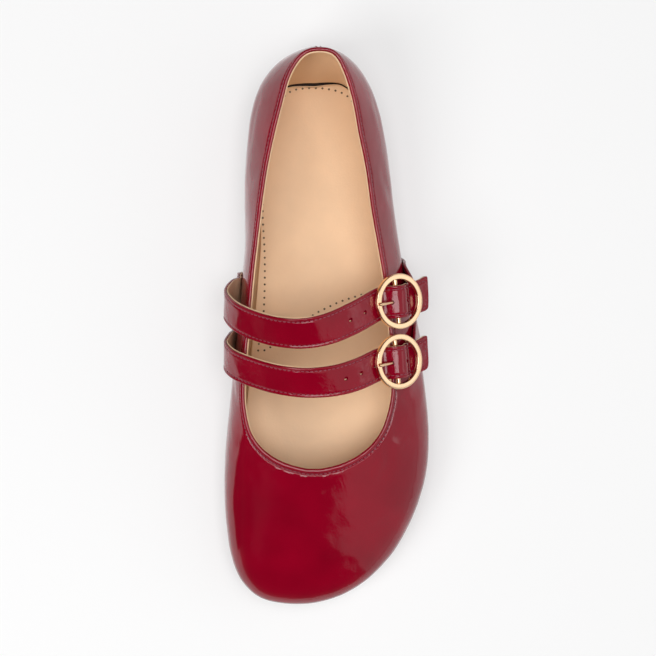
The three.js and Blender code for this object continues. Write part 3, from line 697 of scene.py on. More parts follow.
def make_footbed(settings):
    """Insole board with the sock on it, which is a step narrower."""
    turns = np.arange(LINING_TURNS) / LINING_TURNS
    foot = outline(turns, FEATHER_TUCK + UPPER_WALL)
    low = sole_top(foot[:, 0], foot[:, 1]) + GAP
    high = footbed_height(foot[:, 0], foot[:, 1], 0)
    board, room = footbed_room(turns)
    side = np.stack([
        inner_wall(turns, low, board + UPPER_WALL * 0.4),
        inner_wall(turns, high - SOCK_STEP - 0.15, board),
        inner_wall(turns, high - SOCK_STEP, board + 0.12),
        inner_wall(turns, high - SOCK_STEP + 0.02, room - 0.06),
        inner_wall(turns, high - 0.25, room + 0.1),
        inner_wall(turns, high - 0.05, room + 0.35),
        inner_wall(turns, high, room + 0.7),
    ])
    faces = skin_faces(len(side), len(turns), False, True).tolist()
    top = cap(side[-1], 64, footbed_height)
    bottom = cap(side[0], 8, lambda x, y, across: sole_top(x, y) + GAP)
    leather = lining_leather("Footbed leather", settings)
    return fit(solid("footbed", [(side, faces), top, bottom], leather), "tan_leather", "insole")


# Outsole from the recess under it, over the rim and up its side: inset beyond the feather edge,
# height above its underside
SOLE_RINGS = [
    (5.6, 0.9), (5.0, 0.86), (4.4, 0.4), (4.1, 0.06), (3.6, 0), (0.95, 0), (0.5, 0.12),
    (0.15, 0.42), (0, 0.85), (0, 2.6), (0.08, 2.78), (0.42, 2.95), (0.52, 3.1), (0.55, 3.4),
    (0.6, 4.1), (0.72, 4.4), (1.1, 4.5),
]
RECESS = SOLE_RINGS[0][1]

# Tread: six-sided lugs in the recess
LUG_PITCH = 5.4
LUG_RADIUS = 2.15
LUG_MARGIN = 7.4  # middles of the lugs from the sole's edge
LUG_PROUD = 0.3  # top of a lug inside the sole
LUG_LIFT = 0.02  # lug above the floor


def make_outsole(settings):
    """Outsole with its stepped side and the recess for the tread."""
    turns = np.arange(SOLE_TURNS) / SOLE_TURNS
    edge = outline(turns, FEATHER_TUCK - SOLE_MARGIN)
    lift = sole_lift(edge[:, 0], edge[:, 1])
    side = np.stack([
        np.column_stack([outline(turns, FEATHER_TUCK - SOLE_MARGIN + inset), lift + height])
        for inset, height in SOLE_RINGS
    ])
    faces = skin_faces(len(side), len(turns), False, True).tolist()
    top = cap(side[-1], 10, lambda x, y, across: sole_top(x, y))
    bottom = cap(side[0], 40, lambda x, y, across: sole_lift(x, y) + RECESS)
    piece = solid("outsole_rubber", [(side, faces), top, bottom], rubber("Sole rubber", settings))
    return fit(piece, "sole_rubber", "outsole")


# Straps and tabs

def across_lean():
    """Direction across both straps on the instep, which leans up to the heel."""
    lean = math.radians(STRAP_LEAN)
    return np.array([0, math.cos(lean), math.sin(lean)])


def arch_point(design, row):
    """Point of a strap from its row of across, along and height."""
    across, along, height = row
    turn = turn_at(design["buckle"][1], "outer")
    edge = curves([turn])[0, 4]
    z = edge + height * (design["rise"] if height > 0 else edge)
    return np.array([BALL_WIDTH * across, LENGTH * (0.5 - along), z])


class BuckleSeat:
    """Where a buckle sits: along follows the strap outwards, across follows the bar."""

    def __init__(self, design):
        tilt, facing, turn = (math.radians(v) for v in (BUCKLE_TILT, BUCKLE_FACING, BUCKLE_TURN))
        self.normal = np.array([
            math.sin(tilt) * math.cos(facing), math.sin(tilt) * math.sin(facing), math.cos(tilt),
        ])
        heading = np.array([math.cos(turn), math.sin(turn), 0])
        self.along = unit(heading - self.normal * heading.dot(self.normal))
        self.across = np.cross(self.normal, self.along)
        self.middle = arch_point(design, design["buckle"])

    def at(self, out, side, up):
        """Points from places along, across and above the buckle's middle."""
        out, side, up = (np.asarray(v, float)[..., None] for v in (out, side, up))
        return self.middle + self.along * out + self.across * side + self.normal * up


def smooth_path(points, places):
    """Smooth path through points, without loops, at places counted in points."""
    points = np.asarray(points, float)
    padded = np.vstack([2 * points[0] - points[1], points, 2 * points[-1] - points[-2]])
    i = np.clip(np.floor(places).astype(int), 0, len(points) - 2)
    t = (places - i)[:, None]
    p0, p1, p2, p3 = (padded[i + k] for k in range(4))
    d0, d1, d2 = (
        np.maximum(np.linalg.norm(b - a, axis=1, keepdims=True) ** 0.5, 1e-4)
        for a, b in ((p0, p1), (p1, p2), (p2, p3))
    )
    start = ((p1 - p0) / d0 - (p2 - p0) / (d0 + d1) + (p2 - p1) / d1) * d1
    end = ((p2 - p1) / d1 - (p3 - p1) / (d1 + d2) + (p3 - p2) / d2) * d1
    return (
        p1 + start * t + (3 * (p2 - p1) - 2 * start - end) * t**2
        + (2 * (p1 - p2) + start + end) * t**3
    )


def along_lines(places, walked, lines):
    """Points at places on lines of x, y and z given at walked."""
    return np.stack([np.interp(places, walked, lines[:, k]) for k in range(3)], axis=-1)


class Ribbon:
    """Centre line of a strap with its side and face directions, every step mm."""

    def __init__(self, stations, step=0.7):
        fine = np.linspace(0, len(stations) - 1, (len(stations) - 1) * 24 + 1)
        centre = smooth_path([point for point, _ in stations], fine)
        across = smooth_path([side for _, side in stations], fine)
        walked = np.concatenate([[0], np.cumsum(np.linalg.norm(np.diff(centre, axis=0), axis=1))])
        self.length = walked[-1]
        self.walk = np.linspace(0, self.length, int(self.length / step) + 1)
        self.centre = along_lines(self.walk, walked, centre)
        side = along_lines(self.walk, walked, across)
        heading = unit(np.gradient(self.centre, axis=0))
        self.across = unit(side - heading * np.sum(side * heading, axis=1, keepdims=True))
        self.normal = np.cross(heading, self.across)

    def at(self, walk, side, up):
        """Points and face normals at places along, across and above the ribbon."""
        walk, side, up = np.broadcast_arrays(walk, side, up)
        centre, across, normal = (
            along_lines(walk, self.walk, lines) for lines in (self.centre, self.across, self.normal)
        )
        normal = unit(normal)
        return centre + across * side[..., None] + normal * up[..., None], normal

    def walk_at_x(self, x):
        """Where the top of the ribbon passes a place across the shoe on its way out."""
        highest = int(np.argmax(self.centre[:, 2]))
        return np.interp(x, self.centre[highest:, 0], self.walk[highest:])


def climb_stations(root, side, rises, thickness):
    """Stations that climb the upper's face, from below its feather edge."""
    along, slant = root
    lean = across_lean()
    stations = []
    for rise in rises:
        turn = turn_at(along + slant * rise, side)
        point, normal, _ = (v[0, 0] for v in face_frame([turn], [rise]))
        point = point + normal * (GAP + STRAP_ROOM + thickness / 2)
        stations.append((point, unit(lean - normal * lean.dot(normal))))
    below = stations[0][0] - np.array([0, 0, 2 * SOLE_THICKNESS])
    return [(below, stations[0][1]), *stations]


def strap_ribbon(design):
    """Ribbon of a strap from its root over the instep and the bar to its tip."""
    seat = BuckleSeat(design)
    lean = across_lean()
    count = len(design["arch"])
    stations = climb_stations(design["root"], "inner", (0.1, 0.17, 0.25), STRAP_THICKNESS)
    for i, row in enumerate(design["arch"]):
        share = smooth_step(i / count, 0.5, 1)
        stations.append((arch_point(design, row), lean * (1 - share) + seat.across * share))
    drop = STRAP_CROWN - STRAP_UNDER
    over = [(-out, down) for out, down in OVER_BAR[:0:-1]] + OVER_BAR
    for out, down in over:
        stations.append((seat.at(out * HALF_OPENING, 0, STRAP_CROWN - down * drop), seat.across))
    low = STRAP_UNDER - 0.12 * drop
    turned = unit(seat.across - seat.along * math.tan(math.radians(TAIL_TURN)))
    stations.append((seat.at(RING_OUTER + 0.5 * STRAP_TAIL, TAIL_ASIDE / 3, low), turned))
    tip = RING_OUTER + STRAP_TAIL + TAIL_MORE
    stations.append((seat.at(tip, TAIL_ASIDE, low - 0.05 * drop), turned))
    return Ribbon(stations)


def tab_ribbon(design):
    """Ribbon of a buckle tab from its root up to the bar and round it."""
    seat = BuckleSeat(design)
    stations = climb_stations(design["tab"], "outer", (0.1, 0.18, 0.28, 0.4), TAB_THICKNESS)
    radius = BAR_RADIUS + GAP + TAB_THICKNESS / 2
    drop = STRAP_CROWN - STRAP_UNDER
    low = STRAP_UNDER - 0.15 * drop - STRAP_THICKNESS / 2 - GAP - TAB_THICKNESS
    fold = -BAR_DROP - radius
    line = [(RING_OUTER, low), (HALF_OPENING, (low + fold) / 2), (0.4 * HALF_OPENING, fold)]
    for angle in (-100, -140, -180, -220, -260, -300):
        a = math.radians(angle)
        line.append((radius * math.cos(a), radius * math.sin(a) - BAR_DROP))
    line.append((1.15 * radius, 0.2 * radius - BAR_DROP))
    line.append((0.5 * HALF_OPENING, fold + TAB_THICKNESS + GAP))
    stations += [(seat.at(out, 0, up), seat.across) for out, up in line]
    return Ribbon(stations, step=0.5)


def sheet_of(ribbon, width, low, high, start=0.0, slant=0.0, soft=0.36, waves=None):
    """Closed sheet along a ribbon between two heights, with rounded edges and a slanted tip."""
    half = width / 2
    end = ribbon.length - half * slant
    walk = ribbon.walk[(ribbon.walk > start + 0.05) & (ribbon.walk < end - 0.6)]
    walk = np.concatenate([[start], walk, end - np.array([0.45, 0.2, 0.06, 0.0])])
    soft = min(soft, (high - low) / 2 - 0.01)
    bend = np.radians([0, 30, 60, 90])
    edge = half - soft + soft * np.sin(bend)
    over, below = high - soft + soft * np.cos(bend), low + soft - soft * np.cos(bend)
    top = np.linspace(-1, 1, SHEET_COLUMNS) * (half - soft)
    under = np.linspace(1, -1, 7)[1:-1] * (half - soft)
    side = np.concatenate([top, edge[1:], edge[::-1], under, -edge, -edge[:0:-1]])
    up = np.concatenate([
        np.full(len(top), high), over[1:], below[::-1], np.full(len(under), low), below,
        over[:0:-1],
    ])
    to_end = np.clip(end - walk, 0, TIP_ROUND)[:, None]
    corner = TIP_ROUND - np.sqrt(np.maximum(TIP_ROUND**2 - (TIP_ROUND - to_end) ** 2, 0))
    sides = np.sign(side) * np.maximum(np.abs(side) - corner * (np.abs(side) > half * 0.6), 0)
    thin = 1 - 0.35 * np.clip(1 - (end - walk) / 0.45, 0, 1)[:, None] ** 2
    middle = (low + high) / 2
    ups = middle + (up - middle) * thin
    slanted = walk[:, None] + slant * sides * smooth_step(walk, end - 9, end)[:, None]
    points, normals = ribbon.at(slanted, sides, ups)
    if waves is not None:
        lift = waves(walk[:, None], sides)
        lift = lift * (1 - smooth_step(np.abs(side), half - 0.7, half - 0.1)) * (up > middle)
        points = points + normals * lift[..., None]
    floor = sole_top(points[..., 0], points[..., 1]) + GAP
    points[..., 2] = np.maximum(points[..., 2], floor)
    return points, tube_faces(len(walk), len(side))


def root_walk(ribbon):
    """Where a ribbon comes out above the outsole."""
    x, y, z = ribbon.centre.T
    above = z > sole_top(x, y) + GAP - 4
    return ribbon.walk[int(np.argmax(above))]


def strap_waves(seed, row):
    """Creases across a strap, as patent leather takes them, and the bands of its stitch rows."""
    def waves(walk, side):
        lift = 0
        for height, along, across, more in STRAP_WAVES:
            places = np.stack(np.broadcast_arrays(walk / along, side / across, 0 * walk), -1)
            lift = lift + grain(places, height, 1, seed + more)
        for height, away, width in STRAP_BANDS:
            lift = lift + height * np.exp(-(((np.abs(side) - row - away) / width) ** 2))
        return lift
    return waves


def rod(name, line, radii, across, material, segments=20):
    """Round closed rod along points, with a radius at each."""
    line = np.asarray(line, float)
    heading = unit(np.gradient(line, axis=0))
    side = np.broadcast_to(unit(across), line.shape)
    lift = unit(np.cross(side, heading))
    angle = np.arange(segments) / segments * 2 * math.pi
    turned = np.cos(angle)[:, None] * side[:, None] + np.sin(angle)[:, None] * lift[:, None]
    ring = turned * np.asarray(radii, float)[:, None, None]
    parts = [(line[:, None] + ring, tube_faces(len(line), segments))]
    return solid(name, parts, material, sharp=50)


def prong_line(seat):
    """Path of a prong, round the bar and over the strap to the ring."""
    radius = BAR_RADIUS + GAP + PRONG_RADIUS
    rest = RING_THICKNESS / 2 + GAP + PRONG_RADIUS
    top = radius - BAR_DROP
    line = []
    for angle in (-200, -160, -120, -80, -40, 0, 40, 80):
        a = math.radians(angle)
        line.append((radius * math.cos(a), radius * math.sin(a) - BAR_DROP))
    line += [
        (-0.35 * HALF_OPENING, top + 0.05 * (rest - top)),
        (-0.8 * HALF_OPENING, top + 0.45 * (rest - top)),
        (-RING_INNER, rest),
        (-RING_OUTER + PRONG_RADIUS / 2, rest),
    ]
    fine = np.linspace(0, len(line) - 1, (len(line) - 1) * 8 + 1)
    points = smooth_path(np.array(line), fine)
    return seat.at(points[:, 0], 0 * fine, points[:, 1])


def punch(ribbon, walk, radius, low):
    """Round cutter down into a strap."""
    ups = np.linspace(low, 3, 5)
    line, _ = ribbon.at(np.full(5, walk), np.zeros(5), ups)
    return rod("punch", line, np.full(5, radius), ribbon.across[len(ribbon.across) // 2], None, 24)


def make_straps(settings):
    """Leather and lining of both straps, with blind holes and a slot for the prong."""
    leather = patent_leather("Strap patent leather", settings, fine=4)
    backing = lining_leather("Strap lining", settings)
    half = STRAP_THICKNESS / 2
    split = SPLIT - half
    row = STRAP_WIDTH / 2 - mm(settings.strap_stitch_inset)
    for seed, (name, design) in enumerate(STRAPS.items()):
        ribbon = strap_ribbon(design)
        seat = BuckleSeat(design)
        start = root_walk(ribbon)
        line = prong_line(seat)
        radii = np.full(len(line), PRONG_RADIUS + SLOT_ROOM)

        waves = strap_waves(2.3 + 7 * seed, row)
        top = sheet_of(ribbon, STRAP_WIDTH, split, half, start, TAIL_SLANT, waves=waves)
        holes = [
            punch(ribbon, ribbon.walk_at_x(x), mm(settings.hole_size) / 2, split + HOLE_FLOOR)
            for x in design["holes"]
        ]
        slot = rod("slot", line, radii, seat.across, None, 16)
        piece = cut(solid(f"{name}_strap_leather", [top], leather), [*holes, slot])
        fit(piece, "red_patent", f"{name}_strap")

        width = STRAP_WIDTH + LINING_PROUD
        under = sheet_of(ribbon, width, -half, split - BOND, start, TAIL_SLANT, soft=0.2)
        slot = rod("slot", line, radii, seat.across, None, 16)
        piece = cut(solid(f"{name}_strap_lining", [under], backing), [slot])
        fit(piece, "tan_leather")


def make_tabs(settings):
    """Buckle tabs, each with a slot where its prong goes round the bar."""
    leather = patent_leather("Tab patent leather", settings, fine=4)
    half = TAB_THICKNESS / 2
    row = TAB_WIDTH / 2 - mm(settings.strap_stitch_inset)
    size = ROLL_RADIUS + 2 * GAP
    for seed, (name, design) in enumerate(STRAPS.items()):
        ribbon = tab_ribbon(design)
        waves = strap_waves(31.7 + 5 * seed, row)
        sheet = sheet_of(ribbon, TAB_WIDTH, -half, half, root_walk(ribbon), waves=waves)
        piece = solid(f"{name}_tab_leather", [sheet], leather)
        seat = BuckleSeat(design)
        bpy.ops.mesh.primitive_cube_add(size=1)
        slot = bpy.context.object
        axes = np.stack([seat.along, seat.across, seat.normal], axis=1)
        scale = np.diag([2 * size, 2 * (PRONG_RADIUS + GAP), 2 * size])
        place = Matrix(((axes @ scale) * MM).tolist()).to_4x4()
        place.translation = Vector(seat.at(0, 0, -BAR_DROP) * MM)
        slot.data.transform(place)
        fit(cut(piece, [slot]), "red_patent", f"{name}_buckle_tab")


def make_buckles(settings):
    """Ring, bar and prong of each buckle."""
    brass = pale_brass("Pale brass", settings)
    outer, inner = RING_OUTER - RING_SOFT, RING_INNER + RING_SOFT
    high = RING_THICKNESS / 2 - RING_SOFT
    quarter = np.radians(np.linspace(0, 90, 6))
    radii, ups = [], []
    corners = ((outer, high), (inner, high), (inner, -high), (outer, -high))
    for i, (r, z) in enumerate(corners):
        turn = quarter + math.radians(90 * i)
        radii += list(r + RING_SOFT * np.cos(turn))
        ups += list(z + RING_SOFT * np.sin(turn))
    angle = np.arange(RING_SEGMENTS)[:, None] / RING_SEGMENTS * 2 * math.pi
    reach = (RING_INNER + RING_OUTER) / 2
    ends = np.array([-reach, -reach + 0.15, -reach + 0.4, reach - 0.4, reach - 0.15, reach])
    side = np.concatenate([ends[:3], np.linspace(-reach + 1, reach - 1, 9), ends[3:]])
    taper = np.concatenate([[0.6, 0.88, 1], np.ones(9), [1, 0.88, 0.6]]) * BAR_RADIUS
    for name, design in STRAPS.items():
        seat = BuckleSeat(design)
        ring = seat.at(
            np.array(radii) * np.cos(angle), np.array(radii) * np.sin(angle),
            np.broadcast_to(ups, (RING_SEGMENTS, len(ups))),
        )
        faces = skin_faces(RING_SEGMENTS, len(radii), True, True).tolist()
        fit(solid(f"{name}_ring", [(ring, faces)], brass), "pale_brass", f"{name}_buckle")
        line = seat.at(0 * side, side, np.full(len(side), -BAR_DROP))
        fit(rod(f"{name}_bar", line, taper, seat.along, brass, 24), "pale_brass")
        line = prong_line(seat)
        widths = np.full(len(line), PRONG_RADIUS)
        widths[-3:] *= (0.95, 0.82, 0.5)
        widths[:2] *= (0.5, 0.9)
        prong = rod(f"{name}_tongue", line, widths, seat.across, brass, 20)
        fit(prong, "pale_brass", f"{name}_prong")


# Rows that follow a path: stitches and perforations

def inputs_of(tree):
    """Identifiers of a node tree's inputs by name."""
    return {
        item.name: item.identifier for item in tree.interface.items_tree
        if item.item_type == "SOCKET" and item.in_out == "INPUT"
    }


def add(tree, kind, inputs=None, **options):
    """Adds a node, with its options, and input values or the sockets that feed them."""
    node = tree.nodes.new(kind)
    for name, value in options.items():
        setattr(node, name, value)
    for key, value in (inputs or {}).items():
        if isinstance(value, bpy.types.NodeSocket):
            tree.links.new(value, node.inputs[key])
        else:
            node.inputs[key].default_value = value
    return node


def new_tree(name, inputs):
    """Geometry node tree that takes and gives geometry, with named inputs."""
    tree = bpy.data.node_groups.new(name, "GeometryNodeTree")
    tree.interface.new_socket("Geometry", in_out="INPUT", socket_type="NodeSocketGeometry")
    for socket, kind in inputs:
        tree.interface.new_socket(socket, in_out="INPUT", socket_type=kind)
    tree.interface.new_socket("Geometry", in_out="OUTPUT", socket_type="NodeSocketGeometry")
    return tree, add(tree, "NodeGroupInput"), add(tree, "NodeGroupOutput")


def close_tree(tree, ends, shape, points, rotation, material):
    """Puts a shape on points and ends the tree in realized instances with a material."""
    smooth = add(tree, "GeometryNodeSetShadeSmooth", {"Geometry": shape})
    placed = add(tree, "GeometryNodeInstanceOnPoints", {
        "Points": points, "Instance": smooth.outputs[0], "Rotation": rotation,
    })
    real = add(tree, "GeometryNodeRealizeInstances", {"Geometry": placed.outputs[0]})
    painted = add(tree, "GeometryNodeSetMaterial", {
        "Geometry": real.outputs[0], "Material": material,
    })
    tree.links.new(painted.outputs[0], ends.inputs[0])


def row_tree():
    """Small rounded shapes along a path, turned along it and away from the leather."""
    name = "Row along a path"
    if name in bpy.data.node_groups:
        return bpy.data.node_groups[name]
    number, stuff = "NodeSocketFloat", "NodeSocketMaterial"
    tree, start, ends = new_tree(name, [
        ("Pitch", number), ("Length", number), ("Width", number), ("Height", number),
        ("Material", stuff),
    ])
    curve = add(tree, "GeometryNodeMeshToCurve", {"Mesh": start.outputs["Geometry"]})
    points = add(tree, "GeometryNodeCurveToPoints", {
        "Curve": curve.outputs[0], "Length": start.outputs["Pitch"],
    }, mode="LENGTH")
    lift = add(
        tree, "GeometryNodeInputNamedAttribute", {"Name": "lift"}, data_type="FLOAT_VECTOR",
    )
    up = add(tree, "FunctionNodeAlignRotationToVector", {"Vector": lift.outputs[0]}, axis="Z")
    along = add(tree, "FunctionNodeAlignRotationToVector", {
        "Rotation": up.outputs[0], "Vector": points.outputs["Tangent"],
    }, axis="X", pivot_axis="Z")
    ball = add(tree, "GeometryNodeMeshUVSphere", {"Segments": 10, "Rings": 6, "Radius": 0.5})
    size = add(tree, "ShaderNodeCombineXYZ", {
        "X": start.outputs["Length"], "Y": start.outputs["Width"], "Z": start.outputs["Height"],
    })
    shape = add(tree, "GeometryNodeTransform", {
        "Geometry": ball.outputs[0], "Scale": size.outputs[0],
    })
    close_tree(
        tree, ends, shape.outputs[0], points.outputs[0], along.outputs[0],
        start.outputs["Material"],
    )
    return tree


def lug_tree():
    """Low tread blocks on loose points."""
    number, stuff = "NodeSocketFloat", "NodeSocketMaterial"
    tree, start, ends = new_tree("Tread lugs", [
        ("Radius", number), ("Height", number), ("Turn", number), ("Material", stuff),
    ])
    block = add(tree, "GeometryNodeMeshCylinder", {
        "Vertices": 6, "Radius": start.outputs["Radius"], "Depth": start.outputs["Height"],
    })
    turn = add(tree, "ShaderNodeCombineXYZ", {"Z": start.outputs["Turn"]})
    close_tree(
        tree, ends, block.outputs[0], start.outputs["Geometry"], turn.outputs[0],
        start.outputs["Material"],
    )
    return tree


def grown(name, lines, tree, values):
    """Mesh object that a geometry node tree makes from lines of (points in mm, normals, closed)."""
    mesh = bpy.data.meshes.new(name)
    points, normals, edges = [], [], []
    for line, lift, closed in lines:
        first = len(points)
        points += (np.asarray(line) * MM).tolist()
        normals += np.asarray(lift).tolist()
        if closed is not None:
            edges += [(first + k, first + k + 1) for k in range(len(line) - 1)]
        if closed:
            edges.append((len(points) - 1, first))
    mesh.from_pydata(points, edges, [])
    attribute = mesh.attributes.new("lift", "FLOAT_VECTOR", "POINT")
    attribute.data.foreach_set("vector", np.array(normals, np.float32).ravel())
    obj = new_object(name, mesh, [])
    modifier = obj.modifiers.new("Rows", "NODES")
    modifier.node_group = tree
    for key, identifier in inputs_of(tree).items():
        if key in values:
            modifier[identifier] = values[key]
    return evaluated_copy(obj)


def ribbon_border(ribbon, width, height, inset, start, slant):
    """Stitch line up one side of a ribbon, across its slanted tip and down the other side."""
    side = width / 2 - inset
    end = ribbon.length - width / 2 * slant - inset * 1.2
    near = np.arange(start, end - slant * side, 0.5)
    far = np.arange(start, end + slant * side, 0.5)
    tip = np.linspace(-side, side, 12)
    walks = np.concatenate([near, end + slant * tip, far[::-1]])
    sides = np.concatenate([np.full(len(near), -side), tip, np.full(len(far), side)])
    points, normals = ribbon.at(walks, sides, height - STITCH_SINK)
    return points, normals, False


def make_stitches(settings):
    """Stitch rows below the topline, beside the back seam and along straps and tabs."""
    tree = row_tree()
    values = {
        "Pitch": settings.stitch_pitch, "Length": settings.stitch_length,
        "Width": settings.thread_width, "Height": settings.thread_width * 0.8,
        "Material": thread_finish("Burgundy thread", settings),
    }
    _, points, normals, _ = topline_row(settings)
    row = (points - normals * TOPLINE_SINK, normals, True)
    fit(grown("topline_stitches", [row], tree, values), "red_patent")

    rises = np.linspace(0.06, 0.93, 80)
    lines = []
    for side in (-1, 1):
        points, normals, _ = face_frame([side * SEAM_ROWS / SEAM_ROUND % 1], rises)
        lines.append((points[0] + normals[0] * 0.03, normals[0], False))
    fit(grown("back_seam_stitches", lines, tree, values), "red_patent")

    inset = mm(settings.strap_stitch_inset)
    for name, design in STRAPS.items():
        strap = strap_ribbon(design)
        tab = tab_ribbon(design)
        begin = root_walk(strap) + 7
        lines = [
            ribbon_border(strap, STRAP_WIDTH, STRAP_THICKNESS / 2, inset, begin, TAIL_SLANT),
        ]
        walk = np.arange(root_walk(tab) + 6, tab.length * 0.62, 0.5)
        for side in (inset - TAB_WIDTH / 2, TAB_WIDTH / 2 - inset):
            lines.append((*tab.at(walk, side, TAB_THICKNESS / 2 - STITCH_SINK), False))
        fit(grown(f"{name}_strap_stitches", lines, tree, values), "red_patent")


# Perforated line of the footbed as seen from above: round the heel, down the inner side and
# across the waist to the outer side
DOT_LINE = [
    (27.0, 30.0), (24.5, 45.0), (21.0, 62.0), (18.0, 80.0), (16.4, 92.0), (14.2, 100.5),
    (11.3, 105.2), (8.8, 107.3), (5.4, 108.9), (1.9, 109.7), (-1.3, 110.2), (-4.5, 110.3),
    (-8.0, 110.3), (-11.3, 109.9), (-14.5, 109.3), (-18.5, 107.0), (-22.5, 101.5), (-25.6, 92.0),
    (-27.8, 78.0), (-29.0, 63.0), (-29.1, 51.5), (-28.3, 35.4), (-28.2, 28.1), (-28.3, 17.0),
    (-28.9, 5.0), (-30.2, -4.5), (-31.1, -10.3), (-27.6, -9.9), (-20.0, -4.4), (-12.4, 1.0),
    (-4.8, 6.7), (0.7, 9.5), (6.1, 12.0), (11.6, 13.9), (17.4, 15.7), (25.0, 18.3),
]


def make_perforations(settings):
    """Fine dark dots along the perforated line of the footbed, their colour painted shade of holes.
    """
    line = np.array([(x, y, 0) for x, y in DOT_LINE])
    fine = smooth_path(line, np.linspace(0, len(line) - 1, 900))
    footbed = bpy.data.objects["footbed"]
    hits = [footbed.ray_cast((x * MM, y * MM, 0.1), (0, 0, -1)) for x, y, _ in fine]
    points = np.array([place for hit, place, _, _ in hits if hit]) / MM
    lift = np.array([normal for hit, _, normal, _ in hits if hit])
    # The dots are flat discs coloured with painted shade, not cut holes
    size = settings.dot_size
    piece = grown("footbed_perforations", [(points, lift, False)], row_tree(), {
        "Pitch": settings.dot_pitch, "Length": size, "Width": size, "Height": 0.1 * MM,
        "Material": painted_hole_shade("Perforation", settings),
    })
    fit(piece, "tan_leather")


def make_tread(settings):
    """Rows of six-sided lugs in the recess under the outsole."""
    turns = np.arange(SOLE_TURNS) / SOLE_TURNS
    limit = outline(turns, FEATHER_TUCK - SOLE_MARGIN + LUG_MARGIN)
    half = len(turns) // 2
    outer, inner = limit[: half + 1], np.concatenate([limit[:1], limit[:half - 1:-1]])
    spots = []
    for i, y in enumerate(np.arange(-112, 113, LUG_PITCH * 0.866)):
        right = np.interp(-y, -outer[:, 1], outer[:, 0], left=-999, right=-999)
        left = np.interp(-y, -inner[:, 1], inner[:, 0], left=999, right=999)
        first = -50 + LUG_PITCH / 2 * (i % 2)
        spots += [(x, y) for x in np.arange(first, 50, LUG_PITCH) if left < x < right]
    spots = np.array(spots)
    height = RECESS + LUG_PROUD
    z = sole_lift(spots[:, 0], spots[:, 1]) + LUG_LIFT + height / 2
    points = np.column_stack([spots, z])
    lift = np.broadcast_to([0.0, 0.0, 1.0], points.shape)
    piece = grown("tread_lugs", [(points, lift, None)], lug_tree(), {
        "Radius": LUG_RADIUS * MM, "Height": height * MM, "Turn": math.radians(30),
        "Material": rubber("Tread rubber", settings),
    })
    piece.data.set_sharp_from_angle(angle=math.radians(30))
    fit(piece, "sole_rubber")


# Materials

def effect(name, inputs, outputs):
    """New shader node group with named sockets, and its nodes for input and output."""
    group = bpy.data.node_groups.new(name, "ShaderNodeTree")
    for socket, kind, value in inputs:
        made = group.interface.new_socket(socket, in_out="INPUT", socket_type=kind)
        if value is not None:
            made.default_value = value
    for socket, kind in outputs:
        group.interface.new_socket(socket, in_out="OUTPUT", socket_type=kind)
    return group, add(group, "NodeGroupInput"), add(group, "NodeGroupOutput")


def maths(tree, operation, a, b=0.0, clamp=False):
    node = add(tree, "ShaderNodeMath", {0: a, 1: b}, operation=operation, use_clamp=clamp)
    return node.outputs[0]


def crinkle_effect():
    """Crinkled gloss of patent leather: height in metres and a mask of its shade."""
    name = "Crinkled gloss"
    if name in bpy.data.node_groups:
        return bpy.data.node_groups[name]
    number = "NodeSocketFloat"
    group, start, ends = effect(
        name,
        [("Vector", "NodeSocketVector", None), ("Broad Depth", number, 0.0001),
         ("Fine Depth", number, 0.00002)],
        [("Height", number), ("Shade", number)],
    )
    place = start.outputs["Vector"]
    broad = add(group, "ShaderNodeTexNoise", {"Vector": place, "Scale": 95, "Detail": 1.5})
    patches = add(group, "ShaderNodeTexNoise", {"Vector": place, "Scale": 42, "Detail": 2})
    fine = add(group, "ShaderNodeTexNoise", {
        "Vector": place, "Scale": 430, "Detail": 3, "Roughness": 0.55, "Distortion": 0.7,
    })
    folds = maths(group, "ABSOLUTE", maths(group, "SUBTRACT", fine.outputs[0], 0.5))
    folds = maths(group, "MULTIPLY", folds, 4.0)
    where = add(group, "ShaderNodeMapRange", {
        "Value": patches.outputs[0], "From Min": 0.42, "From Max": 0.62,
        "To Min": 0.25, "To Max": 1.0,
    }, interpolation_type="SMOOTHSTEP")
    patchy = maths(group, "MULTIPLY", folds, where.outputs[0])
    fine_height = maths(group, "MULTIPLY", patchy, start.outputs["Fine Depth"])
    broad_height = maths(group, "MULTIPLY", broad.outputs[0], start.outputs["Broad Depth"])
    group.links.new(maths(group, "ADD", fine_height, broad_height), ends.inputs["Height"])
    group.links.new(patches.outputs[0], ends.inputs["Shade"])
    return group


def grain_effect():
    """Pores and fine grain of plain leather or rubber: height in metres and a shade mask."""
    name = "Fine grain"
    if name in bpy.data.node_groups:
        return bpy.data.node_groups[name]
    number = "NodeSocketFloat"
    group, start, ends = effect(
        name,
        [("Vector", "NodeSocketVector", None), ("Pore Scale", number, 1100.0),
         ("Depth", number, 0.00003)],
        [("Height", number), ("Shade", number)],
    )
    place = start.outputs["Vector"]
    cells = add(group, "ShaderNodeTexVoronoi", {
        "Vector": place, "Scale": start.outputs["Pore Scale"], "Randomness": 1.0,
    })
    fine = add(group, "ShaderNodeTexNoise", {
        "Vector": place, "Scale": start.outputs["Pore Scale"], "Detail": 4,
    })
    cloud = add(group, "ShaderNodeTexNoise", {"Vector": place, "Scale": 34, "Detail": 5})
    mixed = maths(group, "ADD", cells.outputs["Distance"], fine.outputs[0])
    group.links.new(maths(group, "MULTIPLY", mixed, start.outputs["Depth"]), ends.inputs["Height"])
    group.links.new(cloud.outputs[0], ends.inputs["Shade"])
    return group


def new_material(name):
    """Empty material with its surface shader, reading object coordinates."""
    material = bpy.data.materials.new(name)
    material.use_nodes = True
    tree = material.node_tree
    tree.nodes.clear()
    surface = add(tree, "ShaderNodeBsdfPrincipled")
    add(tree, "ShaderNodeOutputMaterial", {"Surface": surface.outputs[0]})
    place = add(tree, "ShaderNodeTexCoord").outputs["Object"]
    return material, tree, surface, place


def scaled(colour, factor):
    return tuple(channel * factor for channel in colour)


